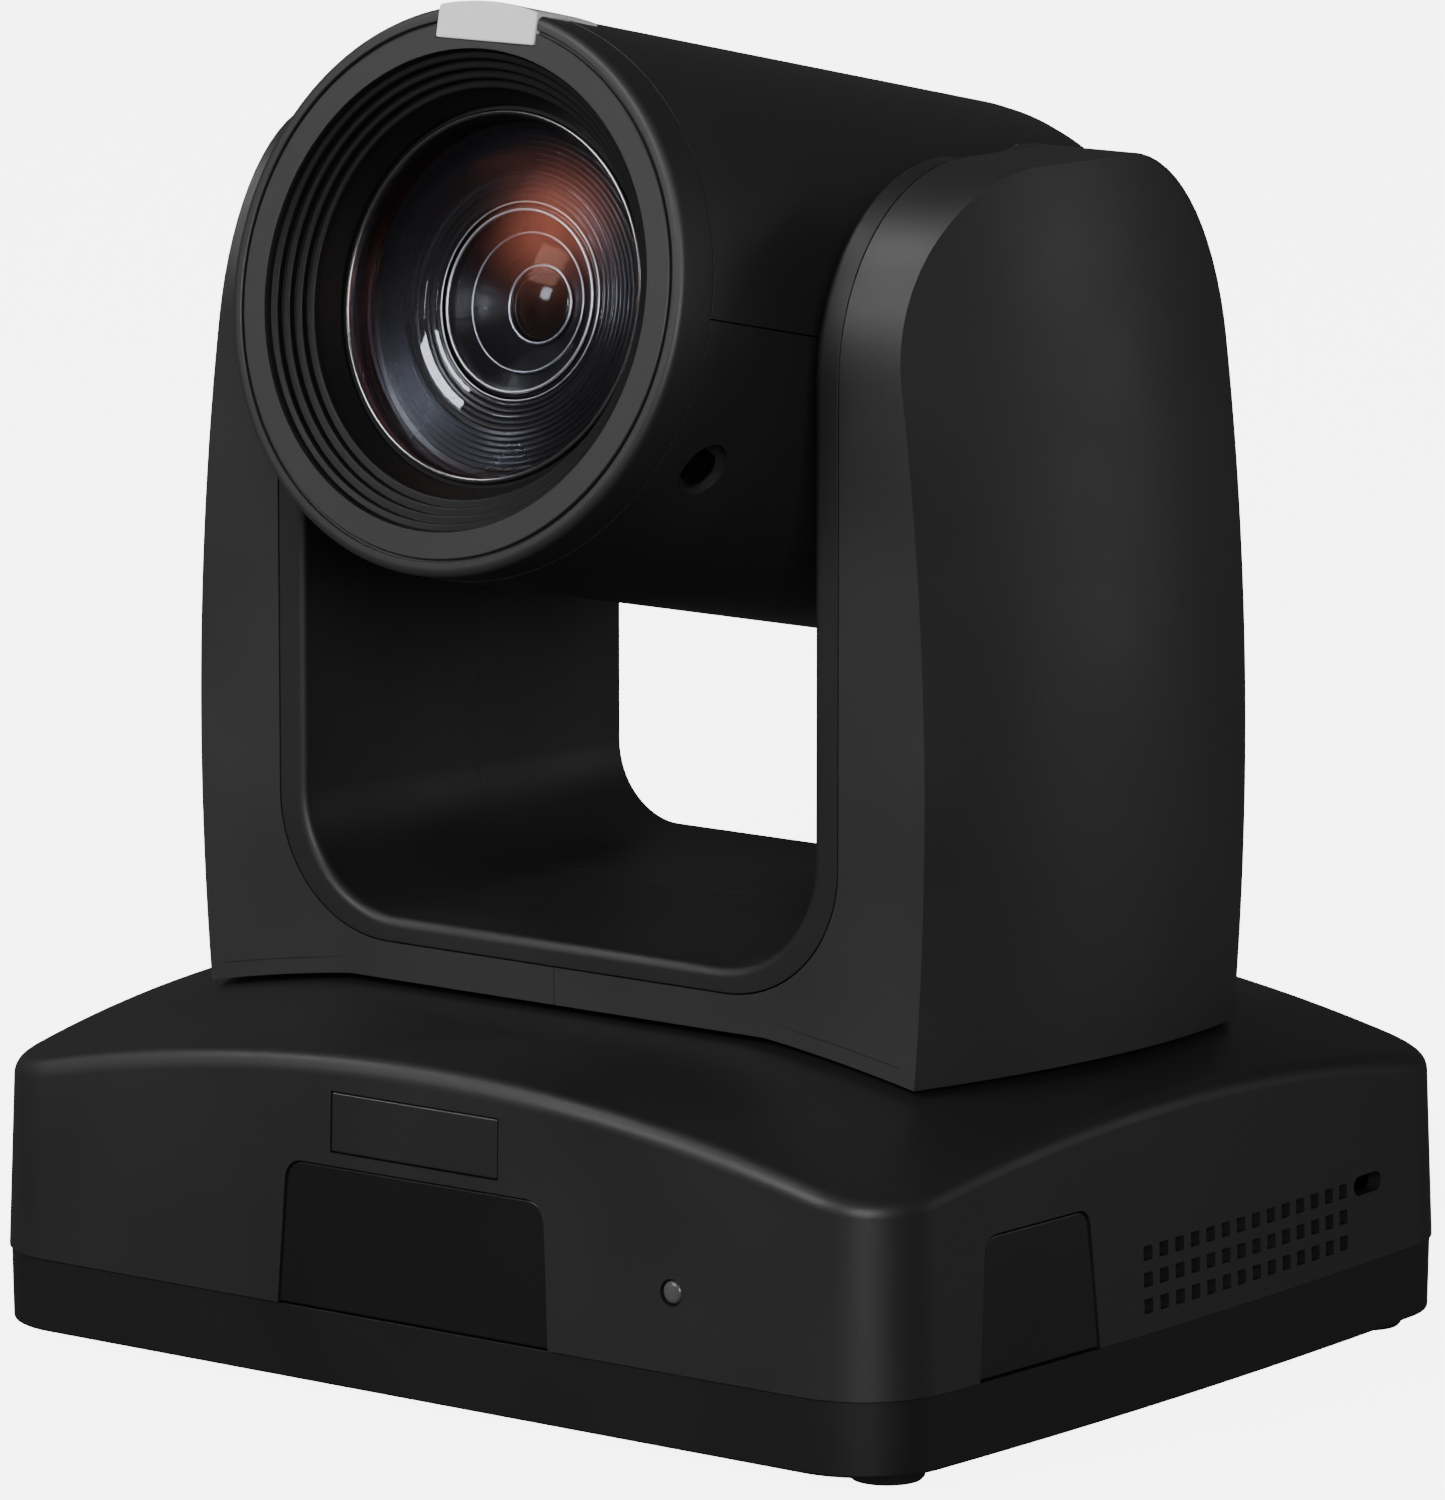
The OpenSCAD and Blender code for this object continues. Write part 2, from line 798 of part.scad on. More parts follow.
module head_shell() {
    difference() {
        lathe() difference() {
            head_2d(0);
            head_2d(wall);
            translate([0, shell_s - 10]) square([head_r - wall, 20]);
        }
        bar_x(collar_r, -far, far);
        tally_slot();
        both_sides() head_screw_place() {
            translate([0, 0, head_r - 1.8]) cylinder(h = 5, r = 4.5, $fn = 32);
            cylinder(h = 60, r = screw_r, $fn = 24);
        }
    }
}

// Puts +Z along the screw, pointing out of the barrel
module head_screw_place() {
    translate([0, -head_screw_s, 0]) rotate([0, 90 + head_screw_angle, 0]) children();
}

module tally_slot() {
    box([-tally_x, -far, tally_z], [tally_x, -tally_s, far]);
}

module head_shell_top() {
    color(black) at_head() difference() {
        head_shell();
        box([-far, -far, -far], [far, far, 0]);
    }
}

module head_shell_bottom() {
    color(black) at_head() difference() {
        head_shell();
        box([-far, -far, 0], [far, far, far]);
    }
}

module bezel() {
    color(dark_grey) at_head() difference() {
        lathe() difference() {
            union() {
                translate([hood_r, shell_s]) square([head_r - hood_r, bezel_s - shell_s]);
                translate([37.3, skirt_s]) square([head_r - wall - 37.3, shell_s - skirt_s + 1]);
            }
            translate([39.7, bezel_s - 0.6]) square([0.4, 2]);
        }
        box([-tally_x, -far, tally_z], [tally_x, -shell_s, far]);
        both_sides() head_screw_place() cylinder(h = 60, r = screw_r, $fn = 24);
    }
}

module tally_light() {
    color("gainsboro") at_head() intersection() {
        union() {
            difference() {
                ring_s(head_r + tally_proud, hood_r, shell_s, bezel_s + 0.3);
                box([-far, -far, -far], [far, far, tally_z]);
            }
            ring_s(head_r + tally_proud, head_r - wall, tally_s, shell_s + 1);
        }
        box([-tally_x, -bezel_s - 1, 30], [tally_x, -tally_s, 60]);
    }
}

module hood() {
    color(black) at_head() union() {
        for (i = [1:hood_steps]) {
            ring_s(hood_r, hood_r - i * hood_step, rim_s, bezel_s - i * hood_step);
        }
        ring_s(hood_r, barrel_in_r + 0.6, rim_s, rim_s + 0.8);
    }
}

module lens_barrel() {
    color(black) at_head() difference() {
        bar_s(barrel_r, barrel_s, rim_s);
        bar_s(barrel_in_r, barrel_s + 3, rim_s + 1);
        bar_s(9, 0, rim_s);
    }
}

module lens_rim() {
    color(steel) at_head() ring_s(barrel_in_r, lens_r, rim_s - 6, rim_s + 0.5);
}

// A round lens with a domed front, from s0 to s1 at its middle
module lens(r, s0, s1, curve) {
    intersection() {
        bar_s(r, s0, s1 + 1);
        translate([0, curve - s1, 0]) sphere(curve, $fn = 128);
    }
}

module front_lens() {
    color(glass) at_head() lens(lens_r, rim_s - 8, rim_s - 1, 103);
}

module lens_baffle() {
    color(black) at_head() difference() {
        bar_s(barrel_in_r, skirt_s, rim_s - 9);
        bar_s(15.5, 0, far);
        for (i = [0:3]) {
            bar_s(24.5 - i * 2.2, rim_s - 10 - i * 0.9, far);
        }
    }
}

module second_lens() {
    color(glass) at_head() lens(15.5, skirt_s, skirt_s + 4.5, 34);
}

module guide_rods() {
    color(steel) at_head() both_sides() translate([rod_x, 0, 0]) bar_s(rod_r, barrel_s + 3, skirt_s, 24);
}

// A disc that carries a lens and slides on the two rods
module cell(s0, s1, bore) {
    difference() {
        bar_s(cell_r, s0, s1);
        bar_s(bore, s0 - 1, s1 + 1);
        both_sides() translate([rod_x, 0, 0]) bar_s(rod_r + fit, s0 - 1, s1 + 1, 24);
    }
}

module zoom_cell() {
    color(dark_grey) at_head() cell(40, 46, 12);
}

module zoom_lens() {
    color(glass) at_head() lens(12, 40.5, 44.5, 30);
}

module iris_unit() {
    color(black) at_head() difference() {
        bar_s(barrel_in_r, 26, 29);
        bar_s(8, 25, 30);
        both_sides() translate([rod_x, 0, 0]) bar_s(rod_r, 25, 30, 24);
    }
}

module focus_cell() {
    color(dark_grey) at_head() cell(16, 21, 9);
}

module focus_lens() {
    color(glass) at_head() lens(9, 16.5, 20, 24);
}

module sensor_board() {
    color(pcb_green) at_head() union() {
        box([-18, -1.6, -18], [18, 0, 18]);
        box([-7, -3.6, -5], [7, -1.5, 5]);
    }
}

module camera_chassis() {
    color(steel) at_head() difference() {
        union() {
            both_sides() box([36, -30, -9], [38.5, 20, 9]);
            both_sides() box([26, -22, -9], [38, -12, 9]);
            box([-37, 0, -9], [37, 2.5, 9]);
            for (x = [-20, 20], z = [-6, 6]) {
                translate([x, 0, z]) bar_y(2, 1, video_board_y);
            }
        }
        bar_s(barrel_r, barrel_s, 60);
    }
}

module tilt_shafts() {
    color(steel) at_tilt() both_sides() union() {
        bar_x(collar_r, collar_x[0], collar_x[1]);
        bar_x(trunnion_r, collar_x[1] - 1, tilt_gear_x + tilt_gear_t);
    }
}

module tilt_gear() {
    color(brass) at_tilt() translate([tilt_gear_x, 0, 0]) rotate([0, 90, 0]) linear_extrude(tilt_gear_t - 0.3) difference() {
        gear_2d(tilt_teeth, tilt_module);
        circle(trunnion_r, $fn = 64);
    }
}

module video_board() {
    color(pcb_green) at_head() box([-24, video_board_y, -24], [24, video_board_y + board_t, 24]);
}

module head_screws() {
    color(steel) at_head() both_sides() head_screw_place() difference() {
        union() {
            translate([0, 0, 34]) cylinder(h = head_r - 1.8 - 34, r = screw_r, $fn = 24);
            translate([0, 0, head_r - 1.8]) cylinder(h = 1.2, r = 2.8, $fn = 32);
        }
        translate([0, 0, head_r - 1.2]) cylinder(h = 3, r = 1.3, $fn = 6);
    }
}

base_cover();
base_tray();
rubber_feet();
front_ir_window();
side_ir_windows();
name_plate();
status_led();
tripod_bush();
bracket_inserts();
rear_panel();
dc_jack();
lan_jack();
hdmi_socket();
usb_socket();
sdi_connector();
audio_jack();
serial_sockets();
io_board();
main_board();
heat_sink();
base_screws();
bearing_housing();
pan_bearing();
pan_motor();
motor_bracket();
pan_pinion();
yoke_cover_left();
yoke_cover_right();
liner_front();
liner_rear();
yoke_frame();
pan_shaft();
pan_gear();
tilt_bushes();
tilt_motor();
yoke_screws();
tilt_pinion();
head_shell_top();
head_shell_bottom();
bezel();
tally_light();
hood();
lens_barrel();
lens_rim();
front_lens();
lens_baffle();
second_lens();
guide_rods();
iris_unit();
sensor_board();
camera_chassis();
tilt_shafts();
tilt_gear();
video_board();
head_screws();
zoom_cell();
zoom_lens();
focus_cell();
focus_lens();
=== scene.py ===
import json
import math

import bmesh
import bpy
from mathutils import Matrix, Vector


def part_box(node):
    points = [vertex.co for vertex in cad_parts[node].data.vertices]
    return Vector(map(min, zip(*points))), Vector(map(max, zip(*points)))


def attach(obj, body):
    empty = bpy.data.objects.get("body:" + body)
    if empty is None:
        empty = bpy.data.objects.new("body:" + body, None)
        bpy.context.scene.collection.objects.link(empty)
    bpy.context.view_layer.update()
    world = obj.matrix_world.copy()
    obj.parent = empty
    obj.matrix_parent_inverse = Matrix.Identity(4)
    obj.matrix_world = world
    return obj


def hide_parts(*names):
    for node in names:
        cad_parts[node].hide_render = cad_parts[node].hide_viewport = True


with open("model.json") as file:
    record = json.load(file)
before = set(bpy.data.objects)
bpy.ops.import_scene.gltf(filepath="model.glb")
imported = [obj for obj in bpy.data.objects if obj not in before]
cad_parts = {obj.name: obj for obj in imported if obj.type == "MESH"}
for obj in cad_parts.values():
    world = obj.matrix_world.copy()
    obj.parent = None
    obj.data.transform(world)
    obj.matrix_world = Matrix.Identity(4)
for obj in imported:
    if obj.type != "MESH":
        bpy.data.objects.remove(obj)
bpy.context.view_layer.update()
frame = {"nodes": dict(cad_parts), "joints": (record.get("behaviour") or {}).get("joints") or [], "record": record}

MM = 0.001
JOINTS = {j["name"]: j for j in frame["joints"]}
SLOT_OF = {s["node"]: s["material_slot"] for s in frame["record"]["subparts"]}


def low(node, axis):
    """Lowest coordinate of a CAD node, in millimetres."""
    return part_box(node)[0][axis] / MM


def high(node, axis):
    """Highest coordinate of a CAD node, in millimetres."""
    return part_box(node)[1][axis] / MM


# ---------- places and sizes taken from the frame ----------

PAN_Y = JOINTS["pan"]["pos_m"][1] / MM
TILT = Vector(JOINTS["tilt"]["pos_m"])
PITCH = math.asin(JOINTS["zoom"]["axis"][2])
BASE = Matrix.Identity(4)
PAN = Matrix.Translation((0, PAN_Y * MM, 0))
HEAD = Matrix.Translation(TILT) @ Matrix.Rotation(-PITCH, 4, "X")

BASE_W = high("base_cover", 0) - low("base_cover", 0)
BASE_D = high("base_cover", 1) - low("base_cover", 1)
SEAM_Z = low("base_cover", 2)
PLATEAU_Z = high("base_cover", 2)
TRAY_Z = low("base_tray", 2)
FRONT_Y = low("base_cover", 1)
ARM_TOP = high("yoke_cover_right", 2)
YOKE_H = (high("yoke_cover_right", 1) - low("yoke_cover_right", 1)) / 2
CHEEK_X = high("yoke_cover_right", 0)
RECESS_X = high("liner_front", 0)
RECESS_Z = low("liner_front", 2)
HEAD_R = high("head_shell_top", 0)
PLATE_W = high("name_plate", 0) - low("name_plate", 0)
PLATE_LOW = low("name_plate", 2)
PLATE_HIGH = high("name_plate", 2)
LED_X = (high("status_led", 0) + low("status_led", 0)) / 2
LED_Z = (high("status_led", 2) + low("status_led", 2)) / 2

# ---------- sizes that the looks add ----------

WALL = 2.5
CORNER_R = 15
SIDE_BOW_R = 1020        # the base's side walls bow out gently in plan
TOP_ROUND = 3.2          # rounding between the base's walls and its top
WALL_DRAFT = 1.0         # the base's walls lean in by this much towards the top
DOME_R = 336             # the base's top is a shallow dome about the pan axis
DOME_TOP = 60.6          # where the dome would end if its middle were not flat
DOME_C = DOME_TOP - DOME_R
SHAFT_HOLE_R = 16
WINDOW_DEPTH = 1.5
WINDOW_SET = 0.3         # the windows sit this far behind the wall
WINDOW_GAP = 0.2
FRONT_WINDOW = (26, 24.6, 36, 3)        # half width below and above, top, corner radius
SIDE_WINDOW = (14.5, 12.2, 35.2, 2.5)
SIDE_WINDOW_Y = -38.5
PLATE_GAP = 0.25         # gap round the name plate
LED_R = 1.7
VENT_COLS = 14
VENT_ROWS = 3
VENT_PITCH = 4
VENT = 2.2               # width of the square vents
VENT_Y = -12.2           # the first vent
VENT_Z = 18.2
SLOT_Y = 46.8            # lock slot in the right-hand wall
SLOT_Z = 26.2
SLOT_R = 1.5
SLOT_REACH = 2.4         # from its middle to the centres of its round ends
PANEL_X = 68             # half the width of the opening for the connectors
PANEL_Z = (16, 38)
TRAY_SET = 0.35          # the tray's rim sits this far inside the cover's edge
TRAY_GAP = 0.15          # seam between the cover and what is under it
TRAY_DRAFT = 0.2         # the tray's walls lean in by this much towards the floor
TRAY_ROUND = 0.5
TRAY_HOLES = [(30, 35, 3.5), (79, 48, 3.2)]     # place and radius of screw holes
TRAY_MIDDLE_R = 8
TRAY_VENTS = 9
TRAY_VENT_PITCH = 6
TRAY_VENT_W = 2.5
TRAY_VENT_Y = (-52, -38)
FOOT_R = 6.2
YOKE_GAP = 1.3
YOKE_Z = PLATEAU_Z + 1.2
ARM_R = 30               # rounding of the arms' tops, seen from the side
CHEEK_R = 112            # the cheeks bulge in plan
CHEEK_Y = 5              # widest a little behind the pan axis
CHEEK_BOW_R = 500        # and lean inwards towards the top
REAR_EDGE = 7.5          # rounding of their rear edges
CHEEK_MID_Z = 93
CHEEK_STEPS = 44
STRAIGHT_TOP = ARM_TOP - ARM_R
FLAT_H = YOKE_H - ARM_R
ARM_SCREW_X = 58.5       # screw holes in the arms' rear edges
ARM_SCREW_Z = (78, 150)
ARM_SCREW_R = 2.9
RECESS_R = 21
GROOVE = 0.22            # gap between the yoke's covers and its liner
GAP_X = 48.6             # half the width between the liner's walls
LINER_SEAM = 3
FLOOR_Z = (66.8, 69.35)  # liner floor at the front and at the back
FLOOR_R = (18, 12)
LIP = 1.6                # rounding of the liner's front and back edges
AXLE_HOLE_R = 7.6
CUT_REACH = 60           # reaches through both sides of the liner and of the head
BEZEL_S = 74.2           # s runs forwards along the lens axis from the tilt axis
SHELL_S = 67
REAR_S = -70
REAR_ROUND = 24
HOOD_R = 35.6
HOOD_STEP = 1.3
HOOD_STEPS = 4
RIM_S = 64.5
BARREL_R = 27.8
LENS_R = 26.6
COLLAR_R = 14
SHELL_GAP = 0.12         # gap between the shells, and between them and the bezel
SCREW_S = 56.3           # screw recess low on each side of the barrel
SCREW_ANGLE = 31
SCREW_RECESS_R = 4.6
TALLY_X = 9.25           # half the width of the tally light
TALLY_Z = 36.8
TALLY_S = 59.7
FLOOR_GLOW = 6
BACKDROP_GLOW = 8
STAGE_R = 9              # metres


# ---------- mesh helpers ----------

def arc(x, y, r, start, end, steps):
    """Points of an arc about (x, y), with angles in degrees."""
    angles = [math.radians(start + (end - start) * i / steps) for i in range(steps + 1)]
    return [(x + r * math.cos(a), y + r * math.sin(a)) for a in angles]


def circle(x, y, r, steps):
    return arc(x, y, r, 0, 360 - 360 / steps, steps - 1)


def rectangle(x0, y0, x1, y1):
    return [(x0, y0), (x1, y0), (x1, y1), (x0, y1)]


def four(x, y):
    """A place and its mirror images across both middle planes."""
    return [(sx * x, sy * y) for sx in (-1, 1) for sy in (-1, 1)]


def mix(a, b, t):
    return a + (b - a) * t


def grid(rows, close_rows=False, close_cols=False):
    """Vertices and quads over equal rows of points."""
    n = len(rows[0])
    verts = [p for row in rows for p in row]
    faces = []
    for i in range(len(rows) - (not close_rows)):
        a, b = i * n, (i + 1) % len(rows) * n
        for j in range(n - (not close_cols)):
            k = (j + 1) % n
            faces.append((a + j, a + k, b + k, b + j))
    return verts, faces


def join(*parts):
    """Several meshes' vertices and faces as one."""
    verts, faces = [], []
    for part_verts, part_faces in parts:
        faces += [tuple(i + len(verts) for i in face) for face in part_faces]
        verts += part_verts
    return verts, faces


def capped(verts, faces, n):
    """Closes a mesh of rings of n points with a face over its first and its last ring."""
    return verts, faces + [tuple(range(n)), tuple(range(len(verts) - n, len(verts)))]


def extrude(outline, start, end, axis):
    """A prism of a 2-D outline: in (Y, Z) along X, in (X, Z) along Y, or in (X, Y) along Z."""
    put = {
        "x": lambda p, d: (d, p[0], p[1]),
        "y": lambda p, d: (p[0], d, p[1]),
        "z": lambda p, d: (p[0], p[1], d),
    }[axis]
    rings = [[put(p, d) for p in outline] for d in (start, end)]
    return capped(*grid(rings, close_cols=True), len(outline))


def block(lowest, highest):
    """A cutter box."""
    (x0, y0, z0), (x1, y1, z1) = lowest, highest
    return extrude(rectangle(x0, y0, x1, y1), z0, z1, "z")


def round_hole(x, y, r, start, end, axis, steps=24):
    """A round cutter about (x, y)."""
    return extrude(circle(x, y, r, steps), start, end, axis)


def lathe(profile, steps=128, start=0, turn=360):
    """Turns a closed outline of (radius, s) about the lens axis. Angle 0 is +X and 90 is up."""
    full = turn == 360
    rows = []
    for i in range(steps + (not full)):
        a = math.radians(start + turn * i / steps)
        rows.append([(r * math.cos(a), -s, r * math.sin(a)) for r, s in profile])
    verts, faces = grid(rows, close_rows=full, close_cols=True)
    return (verts, faces) if full else capped(verts, faces, len(profile))


def new_object(name, data, place):
    verts, faces = data
    mesh = bpy.data.meshes.new(name)
    mesh.from_pydata([place @ (Vector(v) * MM) for v in verts], [], faces)
    bm = bmesh.new()
    bm.from_mesh(mesh)
    bmesh.ops.remove_doubles(bm, verts=bm.verts, dist=1e-6)
    bmesh.ops.dissolve_degenerate(bm, edges=bm.edges, dist=1e-7)
    bmesh.ops.recalc_face_normals(bm, faces=bm.faces)
    bm.to_mesh(mesh)
    bm.free()
    obj = bpy.data.objects.new(name, mesh)
    bpy.context.scene.collection.objects.link(obj)
    return obj


def apply_modifiers(obj):
    bpy.context.view_layer.update()
    shaped = obj.evaluated_get(bpy.context.evaluated_depsgraph_get())
    mesh = bpy.data.meshes.new_from_object(shaped)
    obj.modifiers.clear()
    obj.data = mesh


def carve(obj, cutter, place):
    """Cuts one mesh away from a piece."""
    tool = new_object("cutter", cutter, place)
    mod = obj.modifiers.new("carve", "BOOLEAN")
    mod.operation = "DIFFERENCE"
    mod.solver = "EXACT"
    mod.object = tool
    apply_modifiers(obj)
    bpy.data.objects.remove(tool)


def soften(obj, width):
    """Rounds the sharp edges and evens the shading."""
    for poly in obj.data.polygons:
        poly.use_smooth = True
    if width:
        mod = obj.modifiers.new("edges", "BEVEL")
        mod.width = width * MM
        mod.segments = 2
        mod.limit_method = "ANGLE"
        mod.angle_limit = math.radians(28)
    mod = obj.modifiers.new("normals", "WEIGHTED_NORMAL")
    mod.keep_sharp = True


def piece(name, data, body, slot, place=BASE, stands_for=(), edge=0.25, cuts=(), shell=0,
          material=None):
    """One visible part: its mesh, its cuts, its rounded edges, its finish and its body."""
    obj = new_object(name, data, place)
    if shell:
        mod = obj.modifiers.new("shell", "SOLIDIFY")
        mod.thickness = shell * MM
        mod.offset = -1
        mod.use_even_offset = True
        apply_modifiers(obj)
    if cuts:
        carve(obj, join(*cuts), place)
    soften(obj, edge)
    obj.data.materials.clear()
    obj.data.materials.append(material or MATERIALS[slot])
    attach(obj, body)
    if stands_for:
        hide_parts(*stands_for)


# ---------- materials ----------

def start_material(name):
    mat = bpy.data.materials.new(name)
    mat.use_nodes = True
    nodes = mat.node_tree.nodes
    links = mat.node_tree.links
    return mat, nodes, links, nodes["Principled BSDF"]


def noise(nodes, links, coords, scale, detail=2.0, rough=0.5):
    node = nodes.new("ShaderNodeTexNoise")
    node.inputs["Scale"].default_value = scale
    node.inputs["Detail"].default_value = detail
    node.inputs["Roughness"].default_value = rough
    links.new(coords.outputs["Object"], node.inputs["Vector"])
    return node.outputs["Fac"]


def spread(nodes, links, value, lowest, highest):
    """Maps a 0 to 1 value onto a range."""
    node = nodes.new("ShaderNodeMapRange")
    node.inputs["From Min"].default_value = 0.3
    node.inputs["From Max"].default_value = 0.7
    node.inputs["To Min"].default_value = lowest
    node.inputs["To Max"].default_value = highest
    links.new(value, node.inputs["Value"])
    return node.outputs["Result"]


def tint(nodes, links, value, dark, light):
    node = nodes.new("ShaderNodeMix")
    node.data_type = "RGBA"
    node.inputs["A"].default_value = (*dark, 1)
    node.inputs["B"].default_value = (*light, 1)
    links.new(value, node.inputs["Factor"])
    return node.outputs["Result"]


def bump(nodes, links, height, shader, distance, strength):
    node = nodes.new("ShaderNodeBump")
    node.inputs["Distance"].default_value = distance * MM
    node.inputs["Strength"].default_value = strength
    links.new(height, node.inputs["Height"])
    links.new(node.outputs["Normal"], shader.inputs["Normal"])


def moulded(name, colour, roughness, grain=0.45, depth=0.03, gloss=0.5, uneven=0.06):
    """Spark-eroded plastic: a fine random grain, with slightly uneven colour and sheen."""
    mat, nodes, links, shader = start_material(name)
    coords = nodes.new("ShaderNodeTexCoord")
    fine = noise(nodes, links, coords, 1 / (grain * MM), 3, 0.6)
    broad = noise(nodes, links, coords, 28, 3)
    light = tuple(c * 1.18 for c in colour)
    dark = tuple(c * 0.88 for c in colour)
    links.new(tint(nodes, links, broad, dark, light), shader.inputs["Base Color"])
    rough = spread(nodes, links, broad, roughness - uneven, roughness + uneven)
    links.new(rough, shader.inputs["Roughness"])
    shader.inputs["Specular IOR Level"].default_value = gloss
    bump(nodes, links, fine, shader, depth, 0.6)
    return mat


def metal(name, colour, roughness, grain=0.2, depth=0.01):
    """Machined or plated metal with a faint grain."""
    mat, nodes, links, shader = start_material(name)
    coords = nodes.new("ShaderNodeTexCoord")
    fine = noise(nodes, links, coords, 1 / (grain * MM), 4, 0.7)
    broad = noise(nodes, links, coords, 60, 3)
    dark = tuple(c * 0.85 for c in colour)
    links.new(tint(nodes, links, broad, dark, colour), shader.inputs["Base Color"])
    links.new(spread(nodes, links, fine, roughness * 0.8, roughness * 1.25), shader.inputs["Roughness"])
    shader.inputs["Metallic"].default_value = 1.0
    bump(nodes, links, fine, shader, depth, 0.5)
    return mat


def glass(name, colour, reflect_ior, haze):
    """Coated glass: clear, with a tinted reflection and a little dust in its gloss."""
    mat, nodes, links, shader = start_material(name)
    nodes.remove(shader)
    out = nodes["Material Output"]
    coords = nodes.new("ShaderNodeTexCoord")
    clear = nodes.new("ShaderNodeBsdfTransparent")
    clear.inputs["Color"].default_value = (0.92, 0.93, 0.95, 1)
    gloss = nodes.new("ShaderNodeBsdfGlossy")
    gloss.distribution = "BECKMANN"
    gloss.inputs["Color"].default_value = (*colour, 1)
    dust = noise(nodes, links, coords, 900, 3)
    links.new(spread(nodes, links, dust, haze * 0.9, haze * 1.1), gloss.inputs["Roughness"])
    fresnel = nodes.new("ShaderNodeFresnel")
    fresnel.inputs["IOR"].default_value = reflect_ior
    outside = nodes.new("ShaderNodeMath")
    outside.operation = "SUBTRACT"
    outside.inputs[0].default_value = 1
    links.new(nodes.new("ShaderNodeNewGeometry").outputs["Backfacing"], outside.inputs[1])
    share = nodes.new("ShaderNodeMath")
    share.operation = "MULTIPLY"
    links.new(fresnel.outputs["Fac"], share.inputs[0])
    links.new(outside.outputs["Value"], share.inputs[1])
    blend = nodes.new("ShaderNodeMixShader")
    links.new(share.outputs["Value"], blend.inputs["Fac"])
    links.new(clear.outputs["BSDF"], blend.inputs[1])
    links.new(gloss.outputs["BSDF"], blend.inputs[2])
    links.new(blend.outputs["Shader"], out.inputs["Surface"])
    return mat


def board_material(name):
    """Green solder mask with lighter copper areas."""
    mat, nodes, links, shader = start_material(name)
    coords = nodes.new("ShaderNodeTexCoord")
    cells = nodes.new("ShaderNodeTexVoronoi")
    cells.feature = "DISTANCE_TO_EDGE"
    cells.inputs["Scale"].default_value = 420
    links.new(coords.outputs["Object"], cells.inputs["Vector"])
    step = nodes.new("ShaderNodeMath")
    step.operation = "GREATER_THAN"
    step.inputs[1].default_value = 0.09
    links.new(cells.outputs["Distance"], step.inputs[0])
    colour = tint(nodes, links, step.outputs["Value"], (0.02, 0.13, 0.06), (0.008, 0.07, 0.03))
    links.new(colour, shader.inputs["Base Color"])
    shader.inputs["Roughness"].default_value = 0.32
    bump(nodes, links, step.outputs["Value"], shader, 0.03, 0.5)
    return mat


MATERIALS = {
    "black_plastic": moulded("black_plastic", (0.016, 0.016, 0.0165), 0.46),
    "tray_plastic": moulded("tray_plastic", (0.0062, 0.0062, 0.0065), 0.5, gloss=0.3),
    "liner_plastic": moulded("liner_plastic", (0.0095, 0.0095, 0.01), 0.5, gloss=0.4),
    "bezel_plastic": moulded("bezel_plastic", (0.0145, 0.0145, 0.0151), 0.5),
    "hood_plastic": moulded("hood_plastic", (0.0042, 0.0042, 0.0044), 0.46, gloss=0.2),
    "plate": moulded("plate", (0.012, 0.012, 0.0125), 0.3, depth=0.01),
    "tally_plastic": moulded("tally_plastic", (0.62, 0.62, 0.63), 0.36,
                             depth=0.01, uneven=0.03),
    "clear_plastic": moulded("clear_plastic", (0.05, 0.05, 0.052), 0.22, depth=0.004, uneven=0.03),
    "smoked_window": moulded("smoked_window", (0.006, 0.0058, 0.0062), 0.3,
                             depth=0.004, gloss=0.32, uneven=0.03),
    "rubber": moulded("rubber", (0.012, 0.012, 0.012), 0.8, grain=0.3, depth=0.05, gloss=0.25),
    "socket_black": moulded("socket_black", (0.012, 0.012, 0.012), 0.4),
    "socket_green": moulded("socket_green", (0.05, 0.32, 0.07), 0.4),
    "shield": metal("shield", (0.68, 0.68, 0.66), 0.28),
    "circuit_board": board_material("circuit_board"),
    "brass": metal("brass", (0.72, 0.52, 0.22), 0.28),
    "steel": metal("steel", (0.52, 0.52, 0.53), 0.32),
    "screw_steel": metal("screw_steel", (0.07, 0.07, 0.075), 0.34),
    "aluminium": metal("aluminium", (0.6, 0.6, 0.61), 0.4),
    "motor": metal("motor", (0.2, 0.2, 0.21), 0.38),
    "rim_metal": metal("rim_metal", (0.22, 0.22, 0.23), 0.22),
    "coated_glass": glass("coated_glass", (0.85, 0.8, 1.0), 1.22, 0.02),
}

# finishes of pieces whose slot has another finish above
RING_METAL = metal("ring_metal", (0.8, 0.8, 0.82), 0.38)
BASE_BLACK = moulded("base_black_plastic", (0.0105, 0.0105, 0.0109), 0.46, gloss=0.4)
INNER_BLACK = moulded("inner_black", (0.006, 0.006, 0.0065), 0.28, grain=0.3, depth=0.004, uneven=0.03)
WARM_GLASS = glass("warm_glass", (1.0, 0.55, 0.42), 1.2, 0.05)
FRONT_GLASS = glass("front_coated_glass", (1.0, 0.27, 0.17), 1.35, 0.3)
DISH_GLASS = glass("dish_coated_glass", (0.9, 0.9, 1.0), 1.9, 0.05)
EDGE_GLASS = glass("lens_edge_glass", (0.72, 0.76, 1.0), 1.2, 0.3)
PUPIL = moulded("pupil", (0.012, 0.009, 0.007), 0.12, depth=0.0, uneven=0.02)


# ---------- base ----------

CORNER_Y = BASE_D / 2 - CORNER_R
CORNER_X = BASE_W / 2 - SIDE_BOW_R + math.sqrt((SIDE_BOW_R - CORNER_R) ** 2 - CORNER_Y ** 2)
SIDE_ANGLE = math.degrees(math.asin(CORNER_Y / (SIDE_BOW_R - CORNER_R)))


